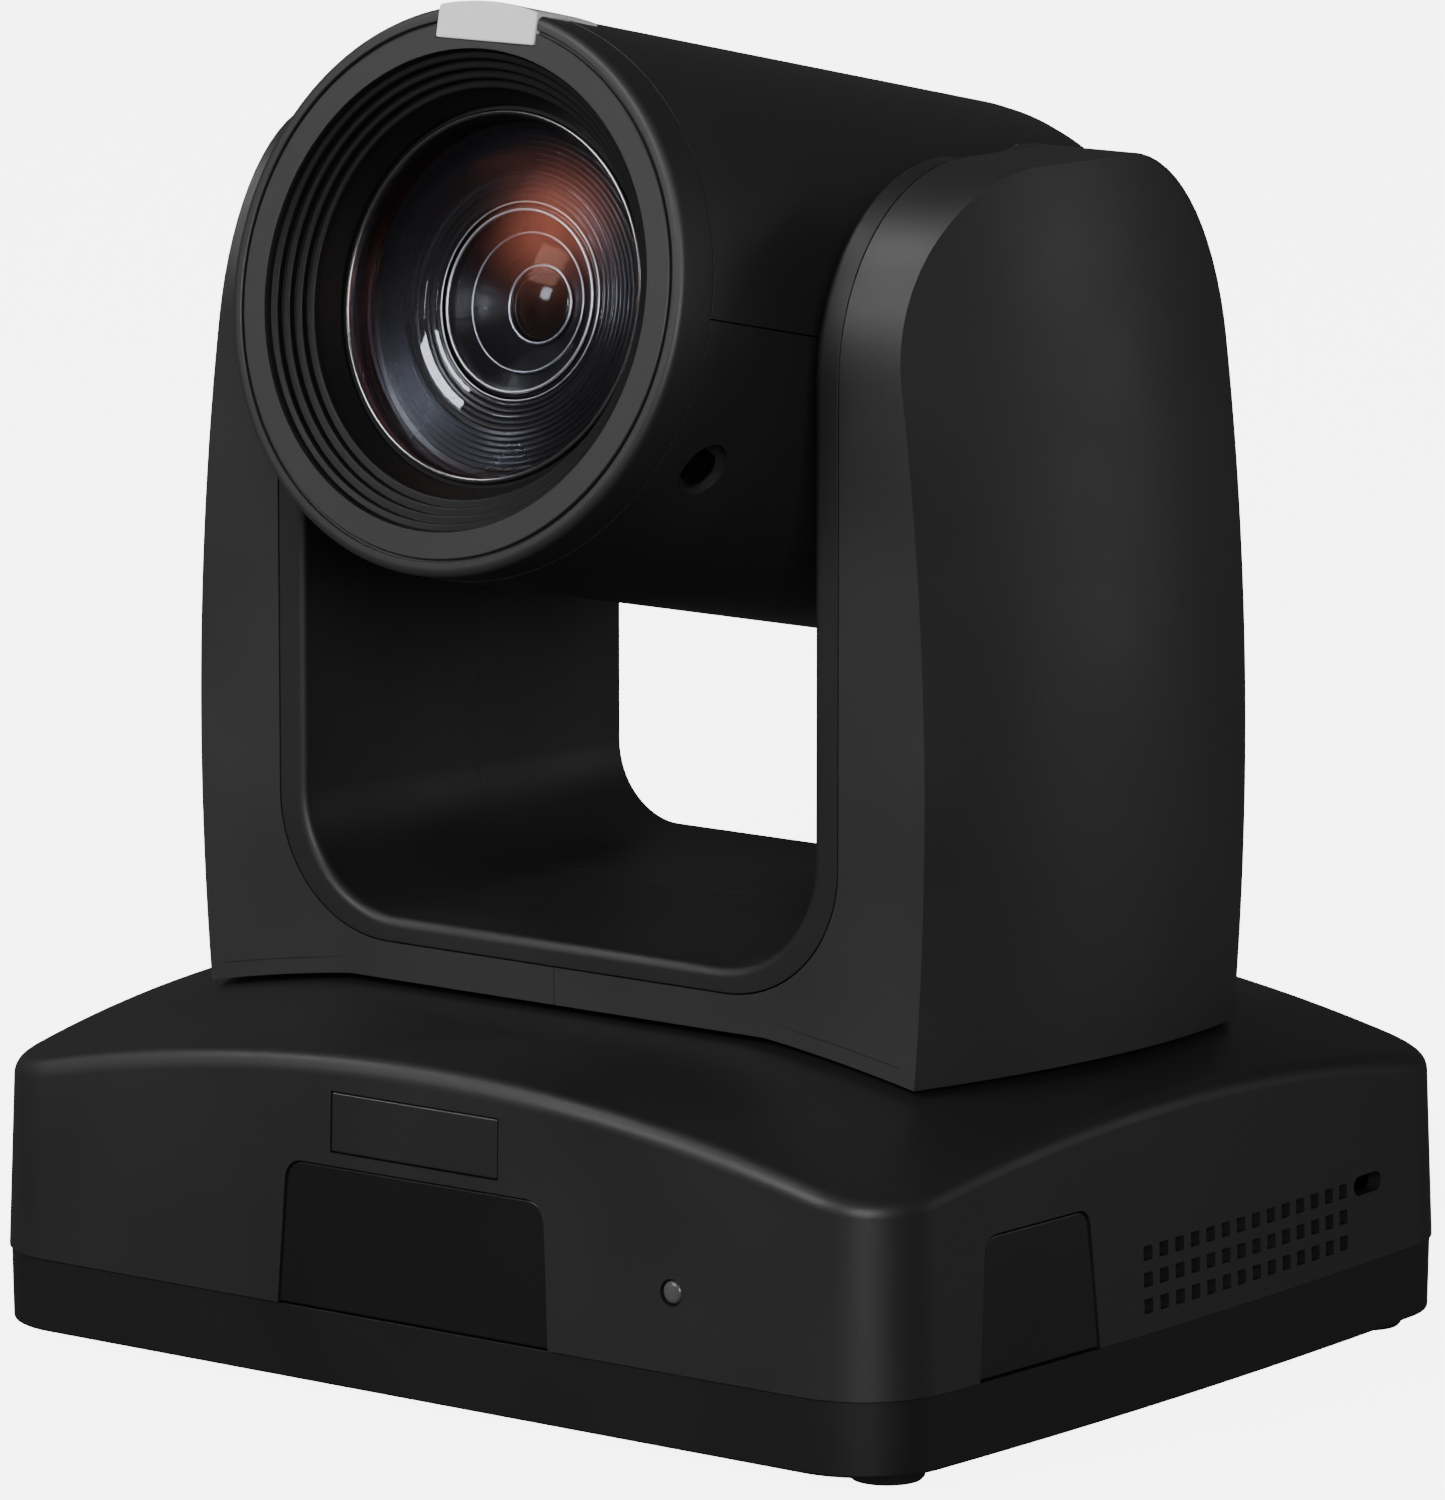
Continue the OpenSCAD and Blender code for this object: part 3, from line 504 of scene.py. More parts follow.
def base_outline(inset):
    """The base's outline in plan: straight front and back, bowed sides and round corners."""
    half_d = BASE_D / 2 - inset
    quarter = [(CORNER_X * i / 20, -half_d) for i in range(20)]
    quarter += arc(CORNER_X, -CORNER_Y, CORNER_R - inset, -90, -SIDE_ANGLE, 14)
    quarter += arc(BASE_W / 2 - SIDE_BOW_R, 0, SIDE_BOW_R - inset, -SIDE_ANGLE, 0, 18)[1:]
    right = quarter + [(x, -y) for x, y in reversed(quarter)][1:]
    return right + [(-x, y) for x, y in reversed(right)][1:-1]


OUTLINE = base_outline(0)
INWARD = [(q[0] - p[0], q[1] - p[1]) for p, q in zip(OUTLINE, base_outline(1))]


def inset_point(i, inset):
    return OUTLINE[i][0] + INWARD[i][0] * inset, OUTLINE[i][1] + INWARD[i][1] * inset


def dome_z(x, y, raise_by=0):
    """Height of the base's domed top, or of a surface that much above it."""
    return DOME_C + math.sqrt((DOME_R + raise_by) ** 2 - x * x - (y - PAN_Y) ** 2)


def plateau_point(i, radius):
    x, y = OUTLINE[i][0], OUTLINE[i][1] - PAN_Y
    scale = radius / math.hypot(x, y)
    return x * scale, y * scale + PAN_Y


def base_skin(depth):
    """Rings of the cover's skin, depth below its surface, from its lower edge to the shaft hole."""
    columns = []
    radius = TOP_ROUND - min(depth, 2)
    plateau_r = math.sqrt(DOME_R ** 2 - (PLATEAU_Z - DOME_C) ** 2)
    for i in range(len(OUTLINE)):
        x, y = inset_point(i, WALL_DRAFT + TOP_ROUND)
        slope = math.asin(-(x * INWARD[i][0] + (y - PAN_Y) * INWARD[i][1]) / DOME_R)
        end = math.pi / 2 - slope
        reach = WALL_DRAFT + TOP_ROUND * (1 - math.cos(end))
        edge_x, edge_y = inset_point(i, reach)
        centre_z = dome_z(edge_x, edge_y) - TOP_ROUND * math.sin(end)
        column = [(*inset_point(i, depth), SEAM_Z)]
        for k in range(7):
            a = end * k / 6
            x, y = inset_point(i, WALL_DRAFT + TOP_ROUND - radius * math.cos(a))
            column.append((x, y, centre_z + radius * math.sin(a)))
        start_x, start_y, _ = column[-1]
        rim_x, rim_y = plateau_point(i, plateau_r)
        for k in range(1, 11):
            x, y = mix(start_x, rim_x, k / 10), mix(start_y, rim_y, k / 10)
            column.append((x, y, dome_z(x, y) - depth))
        for radius_flat in (mix(plateau_r, SHAFT_HOLE_R, 0.5), SHAFT_HOLE_R):
            column.append((*plateau_point(i, radius_flat), PLATEAU_Z - depth))
        columns.append(column)
    return [list(ring) for ring in zip(*columns)]


def window_outline(half_low, half_top, bottom, top, radius):
    """A window with leaning sides and round upper corners."""
    lean = math.degrees(math.atan((half_low - half_top) / (top - bottom)))
    right = arc(half_top - radius, top - radius, radius, lean, 90, 8)
    right = [(half_low, bottom)] + right
    return right + [(-x, z) for x, z in reversed(right)]


def wall_inset(z):
    """How far the base's wall leans in at a height."""
    return WALL_DRAFT * (z - SEAM_Z) / (dome_z(0, FRONT_Y) - TOP_ROUND - SEAM_Z)


def shifted(outline, dy):
    return [(x + dy, z) for x, z in outline]


def window_opening(window):
    """The hole in the wall for a window, with a gap round it."""
    half_low, half_top, top, radius = window
    gap = WINDOW_GAP
    return window_outline(half_low + gap, half_top + gap, SEAM_Z - 5, top + gap, radius + gap)


def window_face(window):
    half_low, half_top, top, radius = window
    return window_outline(half_low, half_top, SEAM_Z + TRAY_GAP, top, radius)


def base_cover():
    outer, inner = base_skin(0), base_skin(WALL)
    rows = outer + inner[::-1]
    opening = window_opening(FRONT_WINDOW)
    cuts = [extrude(opening, FRONT_Y - 5, FRONT_Y + WINDOW_DEPTH + 0.9, "y")]
    opening = shifted(window_opening(SIDE_WINDOW), SIDE_WINDOW_Y)
    for side in (-1, 1):
        wall_x = side * BASE_W / 2
        inside = wall_x - side * (WINDOW_DEPTH + 1.7)
        cuts.append(extrude(opening, inside, wall_x + side * 5, "x"))
        for col in range(VENT_COLS):
            for row in range(VENT_ROWS):
                y, z = VENT_Y + col * VENT_PITCH, VENT_Z + row * VENT_PITCH
                hole = rectangle(y - VENT / 2, z - VENT / 2, y + VENT / 2, z + VENT / 2)
                cuts.append(extrude(hole, wall_x - side * 8, wall_x + side * 3, "x"))
    slot = arc(SLOT_Y + SLOT_REACH, SLOT_Z, SLOT_R, -90, 90, 8)
    slot += arc(SLOT_Y - SLOT_REACH, SLOT_Z, SLOT_R, 90, 270, 8)
    cuts.append(extrude(slot, BASE_W / 2 - 8, BASE_W / 2 + 3, "x"))
    cuts.append(round_hole(LED_X, LED_Z, LED_R + 0.35, FRONT_Y - 3, FRONT_Y + 1.6, "y"))
    half = PLATE_W / 2 + PLATE_GAP
    cuts.append(block((-half, FRONT_Y - 3, PLATE_LOW - PLATE_GAP),
                      (half, FRONT_Y + 1.7, PLATE_HIGH + PLATE_GAP)))
    cuts.append(block((-PANEL_X, BASE_D / 2 - 6, PANEL_Z[0]),
                      (PANEL_X, BASE_D / 2 + 5, PANEL_Z[1])))
    piece("base_cover_moulding", grid(rows, close_rows=True, close_cols=True), "base",
          "black_plastic", stands_for=["base_cover"], edge=0.22, cuts=cuts, material=BASE_BLACK)


def leaning_panel(outline, to_place):
    """A window that follows the wall's lean. to_place puts (across, inset, z) in place."""
    rings = []
    for depth in (WINDOW_SET, WINDOW_DEPTH):
        rings.append([to_place(a, wall_inset(z) + depth, z) for a, z in outline])
    return capped(*grid(rings, close_cols=True), len(outline))


def side_wall_x(y, inset):
    """Distance of a side wall from the middle of the base."""
    return BASE_W / 2 - SIDE_BOW_R + math.sqrt((SIDE_BOW_R - inset) ** 2 - y * y)


def base_windows():
    data = leaning_panel(window_face(FRONT_WINDOW), lambda a, d, z: (a, FRONT_Y + d, z))
    piece("front_ir_window_panel", data, "base", "smoked_window",
          stands_for=["front_ir_window"], edge=0.35)
    outline = shifted(window_face(SIDE_WINDOW), SIDE_WINDOW_Y)
    parts = []
    for side in (-1, 1):

        def on_side(a, d, z, side=side):
            return side * side_wall_x(a, d), a, z

        parts.append(leaning_panel(outline, on_side))
    piece("side_ir_window_panels", join(*parts), "base", "smoked_window",
          stands_for=["side_ir_windows"], edge=0.35)


def name_plate():
    outline = rectangle(-PLATE_W / 2, PLATE_LOW, PLATE_W / 2, PLATE_HIGH)
    front = [(x, FRONT_Y + wall_inset(z) - 0.05, z) for x, z in outline]
    back = [(x, FRONT_Y + 1.4, z) for x, z in outline]
    data = capped(*grid([front, back], close_cols=True), len(outline))
    piece("blank_name_plate", data, "base", "plate", stands_for=["name_plate"], edge=0.3)


def status_led():
    face_y = FRONT_Y + wall_inset(LED_Z)
    profile = [(0, 0), (LED_R * 0.5, 0.04), (LED_R * 0.8, 0.14), (LED_R, 0.4), (LED_R, 1.5), (0, 1.5)]
    rows = []
    for i in range(32):
        a = math.tau * i / 32
        rows.append([(LED_X + r * math.cos(a), face_y + d, LED_Z + r * math.sin(a)) for r, d in profile])
    piece("status_led_lens", grid(rows, close_rows=True, close_cols=True), "base", "clear_plastic",
          stands_for=["status_led"], edge=0)


def outline_ring(inset, z):
    return [(*inset_point(i, inset), z) for i in range(len(OUTLINE))]


def foot_places():
    return four(high("rubber_feet", 0) - FOOT_R, high("rubber_feet", 1) - FOOT_R)


def base_tray():
    """An open tray: an outer and an inner skin that meet at the rim."""
    floor_set = TRAY_SET + TRAY_DRAFT
    rim_z = SEAM_Z - TRAY_GAP
    rings = [outline_ring(floor_set + WALL, TRAY_Z + WALL), outline_ring(TRAY_SET + WALL, rim_z)]
    rings.append(outline_ring(TRAY_SET, rim_z))
    for k in range(6):
        a = math.radians(90 * k / 5)
        rings.append(outline_ring(floor_set + TRAY_ROUND * (1 - math.cos(a)),
                                  TRAY_Z + TRAY_ROUND * (1 - math.sin(a))))
    below, above = TRAY_Z - 2, TRAY_Z + 8
    cuts = []
    for x, y in foot_places():
        cuts.append(round_hole(x, y, FOOT_R, below, TRAY_Z + 0.5, "z", 36))
    for hole_x, hole_y, r in TRAY_HOLES:
        for x, y in four(hole_x, hole_y):
            cuts.append(round_hole(x, y, r, below, above, "z"))
    cuts.append(round_hole(0, 0, TRAY_MIDDLE_R, below, above, "z", 45))
    for i in range(TRAY_VENTS):
        x = (i - (TRAY_VENTS - 1) / 2) * TRAY_VENT_PITCH
        cuts.append(block((x - TRAY_VENT_W / 2, TRAY_VENT_Y[0], below),
                          (x + TRAY_VENT_W / 2, TRAY_VENT_Y[1], above)))
    piece("base_tray_moulding", capped(*grid(rings, close_cols=True), len(OUTLINE)), "base",
          "tray_plastic", stands_for=["base_tray"], edge=0.2, cuts=cuts)


def rubber_feet():
    profile = [(0, 0), (4.6, 0), (5.2, 0.15), (5.6, 0.6), (6.15, 3), (0, 3)]
    parts = []
    for x, y in foot_places():
        rows = []
        for i in range(48):
            a = math.tau * i / 48
            rows.append([(x + r * math.cos(a), y + r * math.sin(a), z) for r, z in profile])
        parts.append(grid(rows, close_rows=True, close_cols=True))
    piece("rubber_foot_pads", join(*parts), "base", "rubber", stands_for=["rubber_feet"], edge=0)


# ---------- yoke ----------

def cheek_x(y, z, back=None, rounding=REAR_EDGE):
    """Distance of an arm's outer face from the middle plane. y runs from the pan axis, and back
    is the y of the arm's rear edge, which is rounded."""
    radius = CHEEK_R - CHEEK_BOW_R + math.sqrt(CHEEK_BOW_R ** 2 - (z - CHEEK_MID_Z) ** 2)
    centre_x = CHEEK_X - CHEEK_R
    bend_y = (YOKE_H if back is None else back) - rounding
    if y < CHEEK_Y + (bend_y - CHEEK_Y) * radius / (radius - rounding):
        return centre_x + math.sqrt(radius ** 2 - (y - CHEEK_Y) ** 2)
    bend_x = centre_x + math.sqrt((radius - rounding) ** 2 - (bend_y - CHEEK_Y) ** 2)
    return bend_x + math.sqrt(max(0, rounding ** 2 - (y - bend_y) ** 2))


def under_z(x, y):
    """Height of the yoke's underside, y being from the pan axis."""
    return min(YOKE_Z, DOME_C + math.sqrt((DOME_R + YOKE_GAP) ** 2 - x * x - y * y))


def lowest_cheek(y):
    """Where an arm's outer face meets the yoke's underside."""
    z = YOKE_Z
    for _ in range(4):
        x = cheek_x(y, z)
        z = under_z(x, y)
    return x, z


def recess_path(share):
    """A point on the lower half of the recess for the liner, from its middle up to its side wall."""
    flat = RECESS_X - RECESS_R
    bend = RECESS_R * math.pi / 2
    along = share * (flat + bend)
    if along < flat:
        return along, RECESS_Z
    a = (along - flat) / RECESS_R
    return flat + RECESS_R * math.sin(a), RECESS_Z + RECESS_R * (1 - math.cos(a))


def yoke_row(inner, outer, half):
    """A row of an arm's skin: the recess's front edge, the outer face, the recess's back edge."""
    ys = [-half * math.cos(math.pi * k / CHEEK_STEPS) for k in range(CHEEK_STEPS + 1)]
    front, back = (inner[0], -half, inner[1]), (inner[0], half, inner[1])
    return [front] + [outer(y) for y in ys] + [back]


def yoke_cover(side):
    flat = RECESS_X - RECESS_R
    bend_share = (flat + RECESS_R * math.pi / 4) / (flat + RECESS_R * math.pi / 2)
    rows = []
    below, beside, over = 22, 40, 16
    for k in range(below + 1):
        s = k / below

        def under(y, s=s):
            x = s * lowest_cheek(y)[0]
            return x, y, under_z(x, y)

        rows.append(yoke_row(recess_path(s * bend_share), under, YOKE_H))
    fillet_rows = 12
    for k in range(1, beside + 1):
        if k <= fillet_rows:
            inner = recess_path(mix(bend_share, 1, k / fillet_rows))
        else:
            share = (k - fillet_rows) / (beside - fillet_rows)
            inner = (RECESS_X, mix(RECESS_Z + RECESS_R, STRAIGHT_TOP, share))

        def cheek(y, inner=inner, k=k):
            bottom = lowest_cheek(y)[1]
            z = mix(bottom, inner[1], min(1, k / fillet_rows))
            return cheek_x(y, z), y, z

        rows.append(yoke_row(inner, cheek, YOKE_H))
    for k in range(1, over + 1):
        a = math.pi / 2 * k / over
        half, z = FLAT_H + ARM_R * math.cos(a), STRAIGHT_TOP + ARM_R * math.sin(a)
        rounding = REAR_EDGE * (1 - (k / over) ** 2)

        def crown(y, z=z, half=half, rounding=rounding):
            return cheek_x(y, z, half, rounding), y, z

        rows.append(yoke_row((RECESS_X, z), crown, half))
    verts, faces = grid(rows)
    first = len(verts) - (CHEEK_STEPS + 3)
    for k in range((CHEEK_STEPS + 2) // 2):
        a, b = first + k, first + CHEEK_STEPS + 2 - k
        if b - 1 > a + 1:
            faces.append((a, a + 1, b - 1, b))
        elif b - 1 == a + 1:
            faces.append((a, a + 1, b))
    verts = [(side * max(x, 0.05), y, z) for x, y, z in verts]
    cuts = []
    for z in ARM_SCREW_Z:
        cuts.append(round_hole(side * ARM_SCREW_X, z, ARM_SCREW_R, YOKE_H - 1.3, YOKE_H + 4, "y"))
    name = "left" if side < 0 else "right"
    piece(f"yoke_cover_{name}_moulding", (verts, faces), "yoke", "black_plastic", PAN,
          [f"yoke_cover_{name}"], edge=0.4, cuts=cuts, shell=WALL)


def u_path(half, bottom, radius, top):
    """Points along a U-shaped section in (X, Z), from the left-hand top round to the right-hand top."""
    right = [(half * 0.25 * k - radius * 0.25 * k, bottom) for k in range(4)]
    right += arc(half - radius, bottom + radius, radius, -90, 0, 16)
    right += [(half, mix(bottom + radius, top, k / 14)) for k in range(1, 15)]
    return [(-x, z) for x, z in reversed(right)][:-1] + right


def liner(front):
    """Half of the liner of the yoke's inner side, from an outer edge to the seam between the halves."""
    side = -1 if front else 1
    edge_y = side * YOKE_H
    outer_half = RECESS_X - GROOVE
    outer_z = RECESS_Z + GROOVE
    outer_r = RECESS_R - GROOVE

    def floor(y):
        return mix(*FLOOR_Z, (y + YOKE_H) / (2 * YOKE_H))

    def bend(y):
        return mix(*FLOOR_R, (y + YOKE_H) / (2 * YOKE_H))

    def arm_end(x, inward, reach):
        """Points over an arm's round top. reach runs from 0 at the outer edge to 1 at the seam."""
        points = []
        steps = 12
        for k in range(1, steps + 1):
            a = math.pi / 2 * k / steps
            r = ARM_R - inward
            y = side * (FLAT_H + r * math.cos(a))
            points.append((x, mix(y, LINER_SEAM, reach), STRAIGHT_TOP + r * math.sin(a)))
        return points

    def row(half, bottom, radius, y, inward, reach):
        middle = [(x, y, z) for x, z in u_path(half, bottom, radius, STRAIGHT_TOP)]
        left, right = arm_end(-half, inward, reach), arm_end(half, inward, reach)
        return left[::-1] + middle + right

    rows = [row(outer_half, outer_z, outer_r, LINER_SEAM, 0, 1)]
    rows.append(row(outer_half, outer_z, outer_r, edge_y, 0, 0))
    for k in range(7):
        a = math.radians(90 * k / 6)
        y = edge_y - side * LIP * (1 - math.cos(a))
        inset = LIP * (1 - math.sin(a))
        rows.append(row(GAP_X + inset, floor(y) - inset, bend(y) + inset, y, abs(edge_y - y), 0))
    for k in range(1, 9):
        y = mix(edge_y - side * LIP, LINER_SEAM, k / 8)
        rows.append(row(GAP_X, floor(y), bend(y), y, LIP, k / 8))
    verts, faces = grid(rows, close_rows=True)
    n = len(rows[0])
    faces += [tuple(i * n + end for i in range(len(rows))) for end in (0, n - 1)]
    hole = round_hole(TILT.y / MM - PAN_Y, TILT.z / MM, AXLE_HOLE_R, -CUT_REACH, CUT_REACH, "x", 45)
    name = "front" if front else "rear"
    piece(f"liner_{name}_moulding", (verts, faces), "yoke", "liner_plastic", PAN,
          [f"liner_{name}"], edge=0.2, cuts=[hole])


# ---------- head ----------

def head_shell(top):
    """Half of the barrel, a hollow half round with a round-edged back."""
    round_r, round_s = HEAD_R - REAR_ROUND, REAR_S + REAR_ROUND
    outer = [(HEAD_R, s) for s in (SHELL_S - SHELL_GAP, 40, 10, -20, round_s)]
    outer += arc(round_r, round_s, REAR_ROUND, 0, -90, 12)[1:]
    outer += [(round_r - 12, REAR_S), (0, REAR_S)]
    hollow = [(0, REAR_S + WALL)]
    hollow += arc(round_r, round_s, REAR_ROUND - WALL, -90, 0, 8)
    hollow += [(HEAD_R - WALL, SHELL_S - 10), (HEAD_R - WALL, SHELL_S - SHELL_GAP)]
    verts, faces = lathe(outer + hollow, 96, 0 if top else 180, 180)
    lift = 0.1 if top else -0.1
    data = [(x, y, z + lift) for x, y, z in verts], faces
    cuts = [round_hole(0, 0, COLLAR_R + 0.15, -CUT_REACH, CUT_REACH, "x", 60)]
    if top:
        half = TALLY_X + 0.15
        cuts.append(block((-half, -SHELL_S - 5, 30), (half, -TALLY_S + 0.15, 60)))
    else:
        for side in (-1, 1):
            cuts.append(screw_recess(side))
    name = "top" if top else "bottom"
    piece(f"head_shell_{name}_moulding", data, "head", "black_plastic", HEAD,
          [f"head_shell_{name}"], edge=0.22, cuts=cuts)


def screw_recess(side):
    """Cutter for a round recess in the barrel's side, below the middle."""
    steps = 40
    a = math.radians(-SCREW_ANGLE)
    out = Vector((side * math.cos(a), 0, math.sin(a)))
    across = Vector((-side * math.sin(a), 0, math.cos(a)))
    rows = []
    for depth in (HEAD_R - 2.0, HEAD_R + 4):
        ring = []
        for i in range(steps):
            t = math.tau * i / steps
            along = Vector((0, -SCREW_S + SCREW_RECESS_R * math.sin(t), 0))
            ring.append(tuple(out * depth + across * SCREW_RECESS_R * math.cos(t) + along))
        rows.append(ring)
    return capped(*grid(rows, close_cols=True), steps)


def bezel():
    """Front ring, with a fine groove in its face and a sleeve that runs back into the shells."""
    groove_r, rounding, bore_r = 39.95, 1.3, 37.3
    sleeve_r, sleeve_s = HEAD_R - WALL - 0.1, 50
    profile = [(HOOD_R + 0.1, SHELL_S + 0.1), (HOOD_R + 0.1, BEZEL_S)]
    profile += [(groove_r - 0.4, BEZEL_S), (groove_r - 0.25, BEZEL_S - 0.15)]
    profile += [(groove_r - 0.23, BEZEL_S - 0.7), (groove_r + 0.23, BEZEL_S - 0.7)]
    profile += [(groove_r + 0.25, BEZEL_S - 0.15), (groove_r + 0.4, BEZEL_S)]
    profile += arc(HEAD_R - rounding, BEZEL_S - rounding, rounding, 90, 0, 6)
    profile += [(HEAD_R, SHELL_S + SHELL_GAP), (sleeve_r, SHELL_S + SHELL_GAP)]
    profile += [(sleeve_r, sleeve_s), (bore_r, sleeve_s), (bore_r, SHELL_S + 0.1)]
    half = TALLY_X + SHELL_GAP
    cuts = [block((-half, -BEZEL_S - 5, TALLY_Z - SHELL_GAP), (half, -SHELL_S, 60))]
    piece("bezel_ring", lathe(profile, 160), "head", "bezel_plastic", HEAD, ["bezel"],
          edge=0.18, cuts=cuts)


def tally_light():
    """The light sits in the top of the bezel, with a thin strip back over the barrel."""
    crest = HEAD_R + 0.45
    front = BEZEL_S + 0.25
    step = -SHELL_S - 0.6
    end = math.degrees(math.asin(TALLY_X / crest))
    top = arc(0, 0, crest, 90 - end, 90 + end, 16)
    outline = [(-TALLY_X, TALLY_Z), (TALLY_X, TALLY_Z)] + top
    strip_z = math.sqrt((HEAD_R - 1.6) ** 2 - TALLY_X ** 2)
    strip = [(-TALLY_X, strip_z), (TALLY_X, strip_z)] + top
    data = join(extrude(outline, -front, step, "y"), extrude(strip, step, -TALLY_S, "y"))
    piece("tally_light_lens", data, "head", "tally_plastic", HEAD, ["tally_light"], edge=0.35)


def hood():
    """Stepped hood in front of the lens, falling inwards one step at a time."""
    profile = [(HOOD_R, RIM_S), (HOOD_R, BEZEL_S - 0.4)]
    for i in range(1, HOOD_STEPS + 1):
        r, s = HOOD_R - i * HOOD_STEP, BEZEL_S - i * HOOD_STEP
        outer_r = r + HOOD_STEP - 0.02 if i > 1 else HOOD_R - 0.3
        profile += [(outer_r, s + 0.12), (r + 0.35, s + 0.04), (r + 0.1, s - 0.06), (r, s - 0.3)]
    cone_r, cone_s = HOOD_R - HOOD_STEPS * HOOD_STEP, BEZEL_S - HOOD_STEPS * HOOD_STEP
    profile += [(cone_r - 0.3, cone_s - 1.4), (BARREL_R + 0.75, RIM_S + 0.9)]
    profile += [(BARREL_R + 0.6, RIM_S)]
    piece("stepped_hood", lathe(profile, 160), "head", "hood_plastic", HEAD, ["hood"], edge=0.1)


def cap(radius, curve, edge_s, steps):
    """Profile of a domed face, from the lens axis to its edge at edge_s."""
    centre = edge_s - math.sqrt(curve ** 2 - radius ** 2)
    radii = [radius * k / steps for k in range(steps + 1)]
    return [(r, centre + math.sqrt(curve ** 2 - r * r)) for r in radii]


def shell_of(face, thickness):
    """Closed outline of a thin glass behind a face."""
    return face + [(r, s - thickness) for r, s in reversed(face)]


def lens_rim():
    """Rounded ring round the front glass."""
    inner_r, bead = LENS_R + 0.05, 0.45
    rim = [(BARREL_R, RIM_S - 6), (BARREL_R, RIM_S + 0.25)]
    rim += arc(BARREL_R - bead, RIM_S + 0.25, bead, 0, 180, 8)
    rim += [(inner_r, RIM_S - 0.4), (inner_r, RIM_S - 6)]
    piece("lens_rim_ring", lathe(rim, 160), "head", "rim_metal", HEAD, ["lens_rim"], edge=0)


def front_glass():
    face = cap(LENS_R, 60, RIM_S - 1.6, 16)
    piece("front_lens_glass", lathe(shell_of(face, 0.3), 160), "head", "coated_glass", HEAD,
          ["front_lens"], edge=0, material=FRONT_GLASS)


def dished_glass():
    """Hollow face behind the front glass, of which only rings show."""
    curve, edge_r = 62, 25.6
    centre = RIM_S - 2.2 + math.sqrt(curve ** 2 - edge_r ** 2)
    parts = []
    for start, end in ((15.3, 15.9), (17.1, 18.7), (19.6, edge_r)):
        radii = [mix(start, end, k / 8) for k in range(9)]
        face = [(r, centre - math.sqrt(curve ** 2 - r * r)) for r in radii]
        parts.append(lathe(shell_of(face, 0.2), 160))
    piece("dished_glass_rings", join(*parts[:2]), "head", "coated_glass", HEAD, edge=0,
          material=DISH_GLASS)
    piece("dished_lens_edge", parts[2], "head", "coated_glass", HEAD, edge=0, material=EDGE_GLASS)


def baffle():
    """Ridges that step inwards behind the front glass."""
    ridges = 13
    outer_r, outer_s, inner_r, inner_s = 26.4, RIM_S - 4.6, 14.9, RIM_S - 6.4
    wall_r, back_s = BARREL_R - 0.1, RIM_S - 12
    profile = [(wall_r, back_s), (wall_r, outer_s + 0.2)]
    for k in range(ridges):
        t0, t1 = k / ridges, (k + 1) / ridges
        r0, r1 = mix(outer_r, inner_r, t0), mix(outer_r, inner_r, t1)
        s0, s1 = mix(outer_s, inner_s, t0 ** 1.3), mix(outer_s, inner_s, t1 ** 1.3)
        profile += [(r0, s0), (r0 - 0.28, s0 + 0.14), (mix(r0, r1, 0.85), s1 - 0.25)]
    profile += [(inner_r, inner_s), (inner_r, back_s)]
    piece("ridged_baffle", lathe(profile, 160), "head", "hood_plastic", HEAD, ["lens_baffle"],
          edge=0, material=INNER_BLACK)


def retaining_rings():
    """Bright rings that hold the inner glasses."""
    rings = [(14.8, 6.3, 0.14), (13.6, 6.2, 0.26), (10.4, 8.2, 0.18), (5.8, 11.2, 0.26)]
    parts = []
    for r, depth, thick in rings:
        parts.append(lathe(circle(r, RIM_S - depth, thick, 12), 128))
    piece("retaining_rings", join(*parts), "head", "rim_metal", HEAD, edge=0, material=RING_METAL)


def inner_cones():
    """Black steps between the inner glasses, down to the pupil."""
    steps = [(14.8, 6.6), (13.7, 6.5), (12.6, 7.6), (10.6, 8.5), (9.4, 9.6), (6.2, 11.4)]
    steps += [(5.4, 11.8), (4.6, 14), (4.6, 15), (14.8, 15)]
    cone = [(r, RIM_S - depth) for r, depth in steps]
    piece("inner_cones", lathe(cone, 128), "head", "hood_plastic", HEAD, edge=0,
          material=INNER_BLACK)


def second_glass():
    radius, back_s = 13.3, RIM_S - 7.3
    face = cap(radius, 30, RIM_S - 6.9, 12)
    piece("second_lens_glass", lathe(face + [(radius, back_s), (0, back_s)], 128), "head",
          "coated_glass", HEAD, ["second_lens"], edge=0, material=WARM_GLASS)


def pupil():
    radius, back_s = 5.5, RIM_S - 12.4
    face = cap(radius, 9, RIM_S - 11.6, 12)
    piece("pupil_glass", lathe(face + [(radius, back_s), (0, back_s)], 96), "head",
          "coated_glass", HEAD, edge=0, material=PUPIL)


base_cover()
base_windows()
name_plate()
status_led()
base_tray()
rubber_feet()
yoke_cover(-1)
yoke_cover(1)
liner(True)
liner(False)
head_shell(True)
head_shell(False)
bezel()
tally_light()
hood()
lens_rim()
front_glass()
dished_glass()
baffle()
retaining_rings()
inner_cones()
second_glass()
pupil()

# ---------- CAD nodes that show ----------

for node, obj in frame["nodes"].items():
    if obj.hide_render:
        continue
    obj.data.materials.clear()
    obj.data.materials.append(MATERIALS[SLOT_OF[node]])

# ---------- floor, light and camera ----------


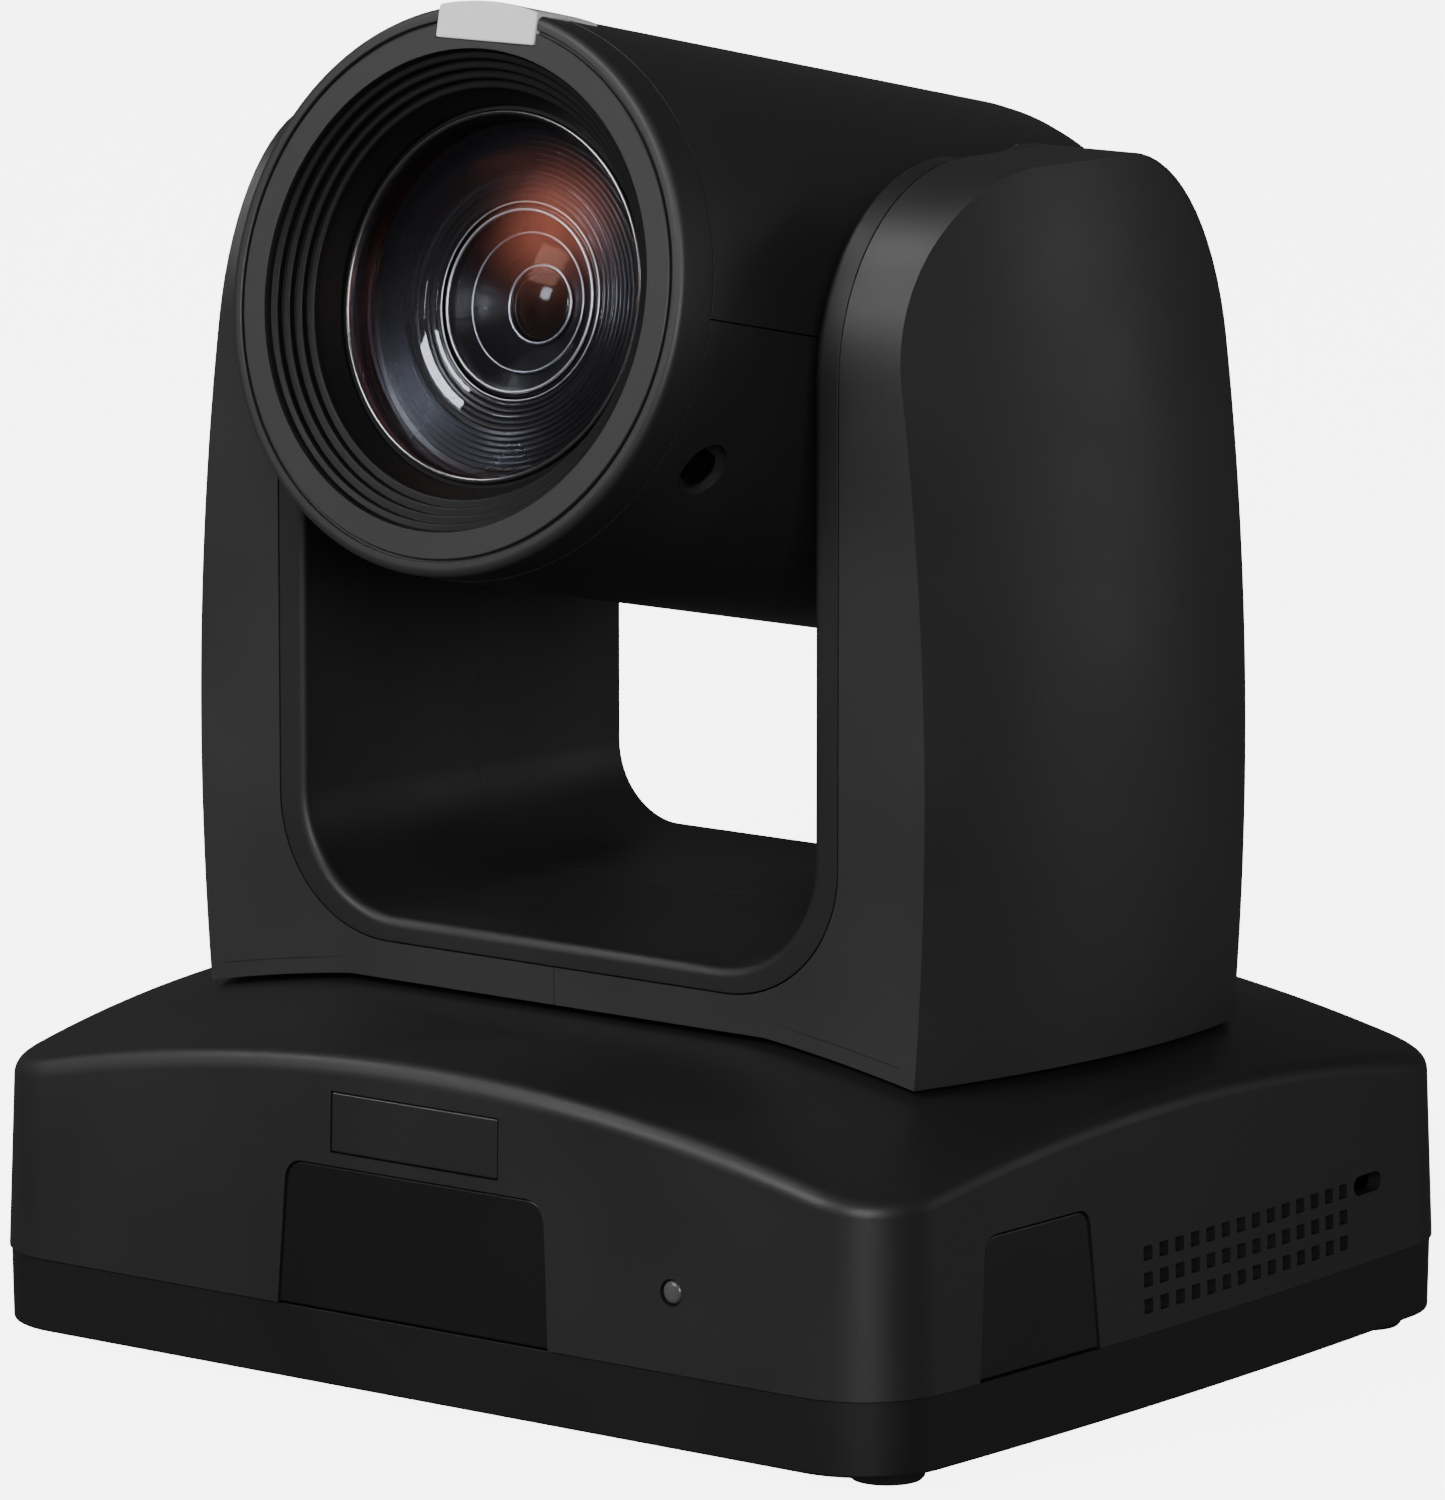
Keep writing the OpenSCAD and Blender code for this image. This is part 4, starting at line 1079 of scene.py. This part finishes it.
def glow_material(name, colour, glow):
    """A pale surface that shines, so that it shows nearly white."""
    mat, nodes, links, shader = start_material(name)
    coords = nodes.new("ShaderNodeTexCoord")
    broad = noise(nodes, links, coords, 3, 2)
    dark = tuple(c * 0.98 for c in colour)
    links.new(tint(nodes, links, broad, dark, colour), shader.inputs["Base Color"])
    shader.inputs["Roughness"].default_value = 0.9
    shader.inputs["Specular IOR Level"].default_value = 0
    shader.inputs["Emission Color"].default_value = (1, 1, 1, 1)
    shader.inputs["Emission Strength"].default_value = glow
    return mat


def add_stage(name, data, material):
    """A stage object that only the camera sees, so that it puts no light on the object."""
    verts, faces = data
    mesh = bpy.data.meshes.new(name)
    mesh.from_pydata(verts, [], faces)
    mesh.materials.append(material)
    obj = bpy.data.objects.new(name, mesh)
    obj.visible_diffuse = False
    obj.visible_glossy = False
    obj.visible_transmission = False
    obj.visible_shadow = False
    bpy.context.scene.collection.objects.link(obj)


def add_floor():
    """A round floor with a dome over it as a backdrop."""
    edge = circle(0, 0, STAGE_R, 36)
    disc = [(x, y, 0) for x, y in edge], [tuple(range(len(edge)))]
    add_stage("floor", disc, glow_material("pale_floor", (0.8, 0.8, 0.8), FLOOR_GLOW))
    rows = []
    for k in range(13):
        a = math.radians(90 * k / 12)
        rows.append([(x * math.cos(a), y * math.cos(a), STAGE_R * math.sin(a)) for x, y in edge])
    add_stage("backdrop", grid(rows, close_cols=True),
              glow_material("backdrop_white", (0, 0, 0), BACKDROP_GLOW))


def add_light(name, place, aim, size, power, height=None, diffuse=True, glossy=True):
    data = bpy.data.lights.new(name, "AREA")
    data.energy = power
    data.shape = "RECTANGLE"
    data.size = size
    data.size_y = height or size
    light = bpy.data.objects.new(name, data)
    light.location = place
    light.visible_diffuse = diffuse
    light.visible_glossy = glossy
    light.rotation_euler = (Vector(aim) - Vector(place)).to_track_quat("-Z", "Y").to_euler()
    bpy.context.scene.collection.objects.link(light)


def add_world():
    world = bpy.data.worlds.new("studio")
    world.use_nodes = True
    background = world.node_tree.nodes["Background"]
    background.inputs["Color"].default_value = (1, 1, 1, 1)
    background.inputs["Strength"].default_value = 0.08
    bpy.context.scene.world = world


def add_camera():
    """A long lens, from the front right and a little above."""
    azimuth, elevation, distance = math.radians(37.716), math.radians(10.234), 1.6368
    target = Vector((-0.00196, 0.0026, 0.08963))
    level = math.cos(elevation)
    back = Vector((math.sin(azimuth) * level, -math.cos(azimuth) * level, math.sin(elevation)))
    data = bpy.data.cameras.new("camera")
    data.sensor_width = 36
    data.lens = 256.64
    data.clip_start = 0.1
    data.clip_end = 50
    camera = bpy.data.objects.new("camera", data)
    camera.location = target + back * distance
    camera.rotation_euler = back.to_track_quat("Z", "Y").to_euler()
    bpy.context.scene.collection.objects.link(camera)
    bpy.context.scene.camera = camera


add_floor()
add_world()
add_light("key", (-0.7, -1.91, 1.42), (0, 0, 0.12), 0.8, 34)
add_light("back_right", (1.75, 1.4, 0.35), (0, 0, 0.1), 0.8, 4.5, 1.2)
add_light("top_left", (-1.3, -0.5, 1.65), (0, 0, 0.15), 0.5, 10, diffuse=False)
add_light("front_left", (-1.5, -1.9, 0.35), (0, 0, 0.1), 1.2, 38, glossy=False)
add_light("front_right", (1.7, -2.0, 0.9), (0, 0, 0.1), 0.6, 52, 1.2)
add_camera()
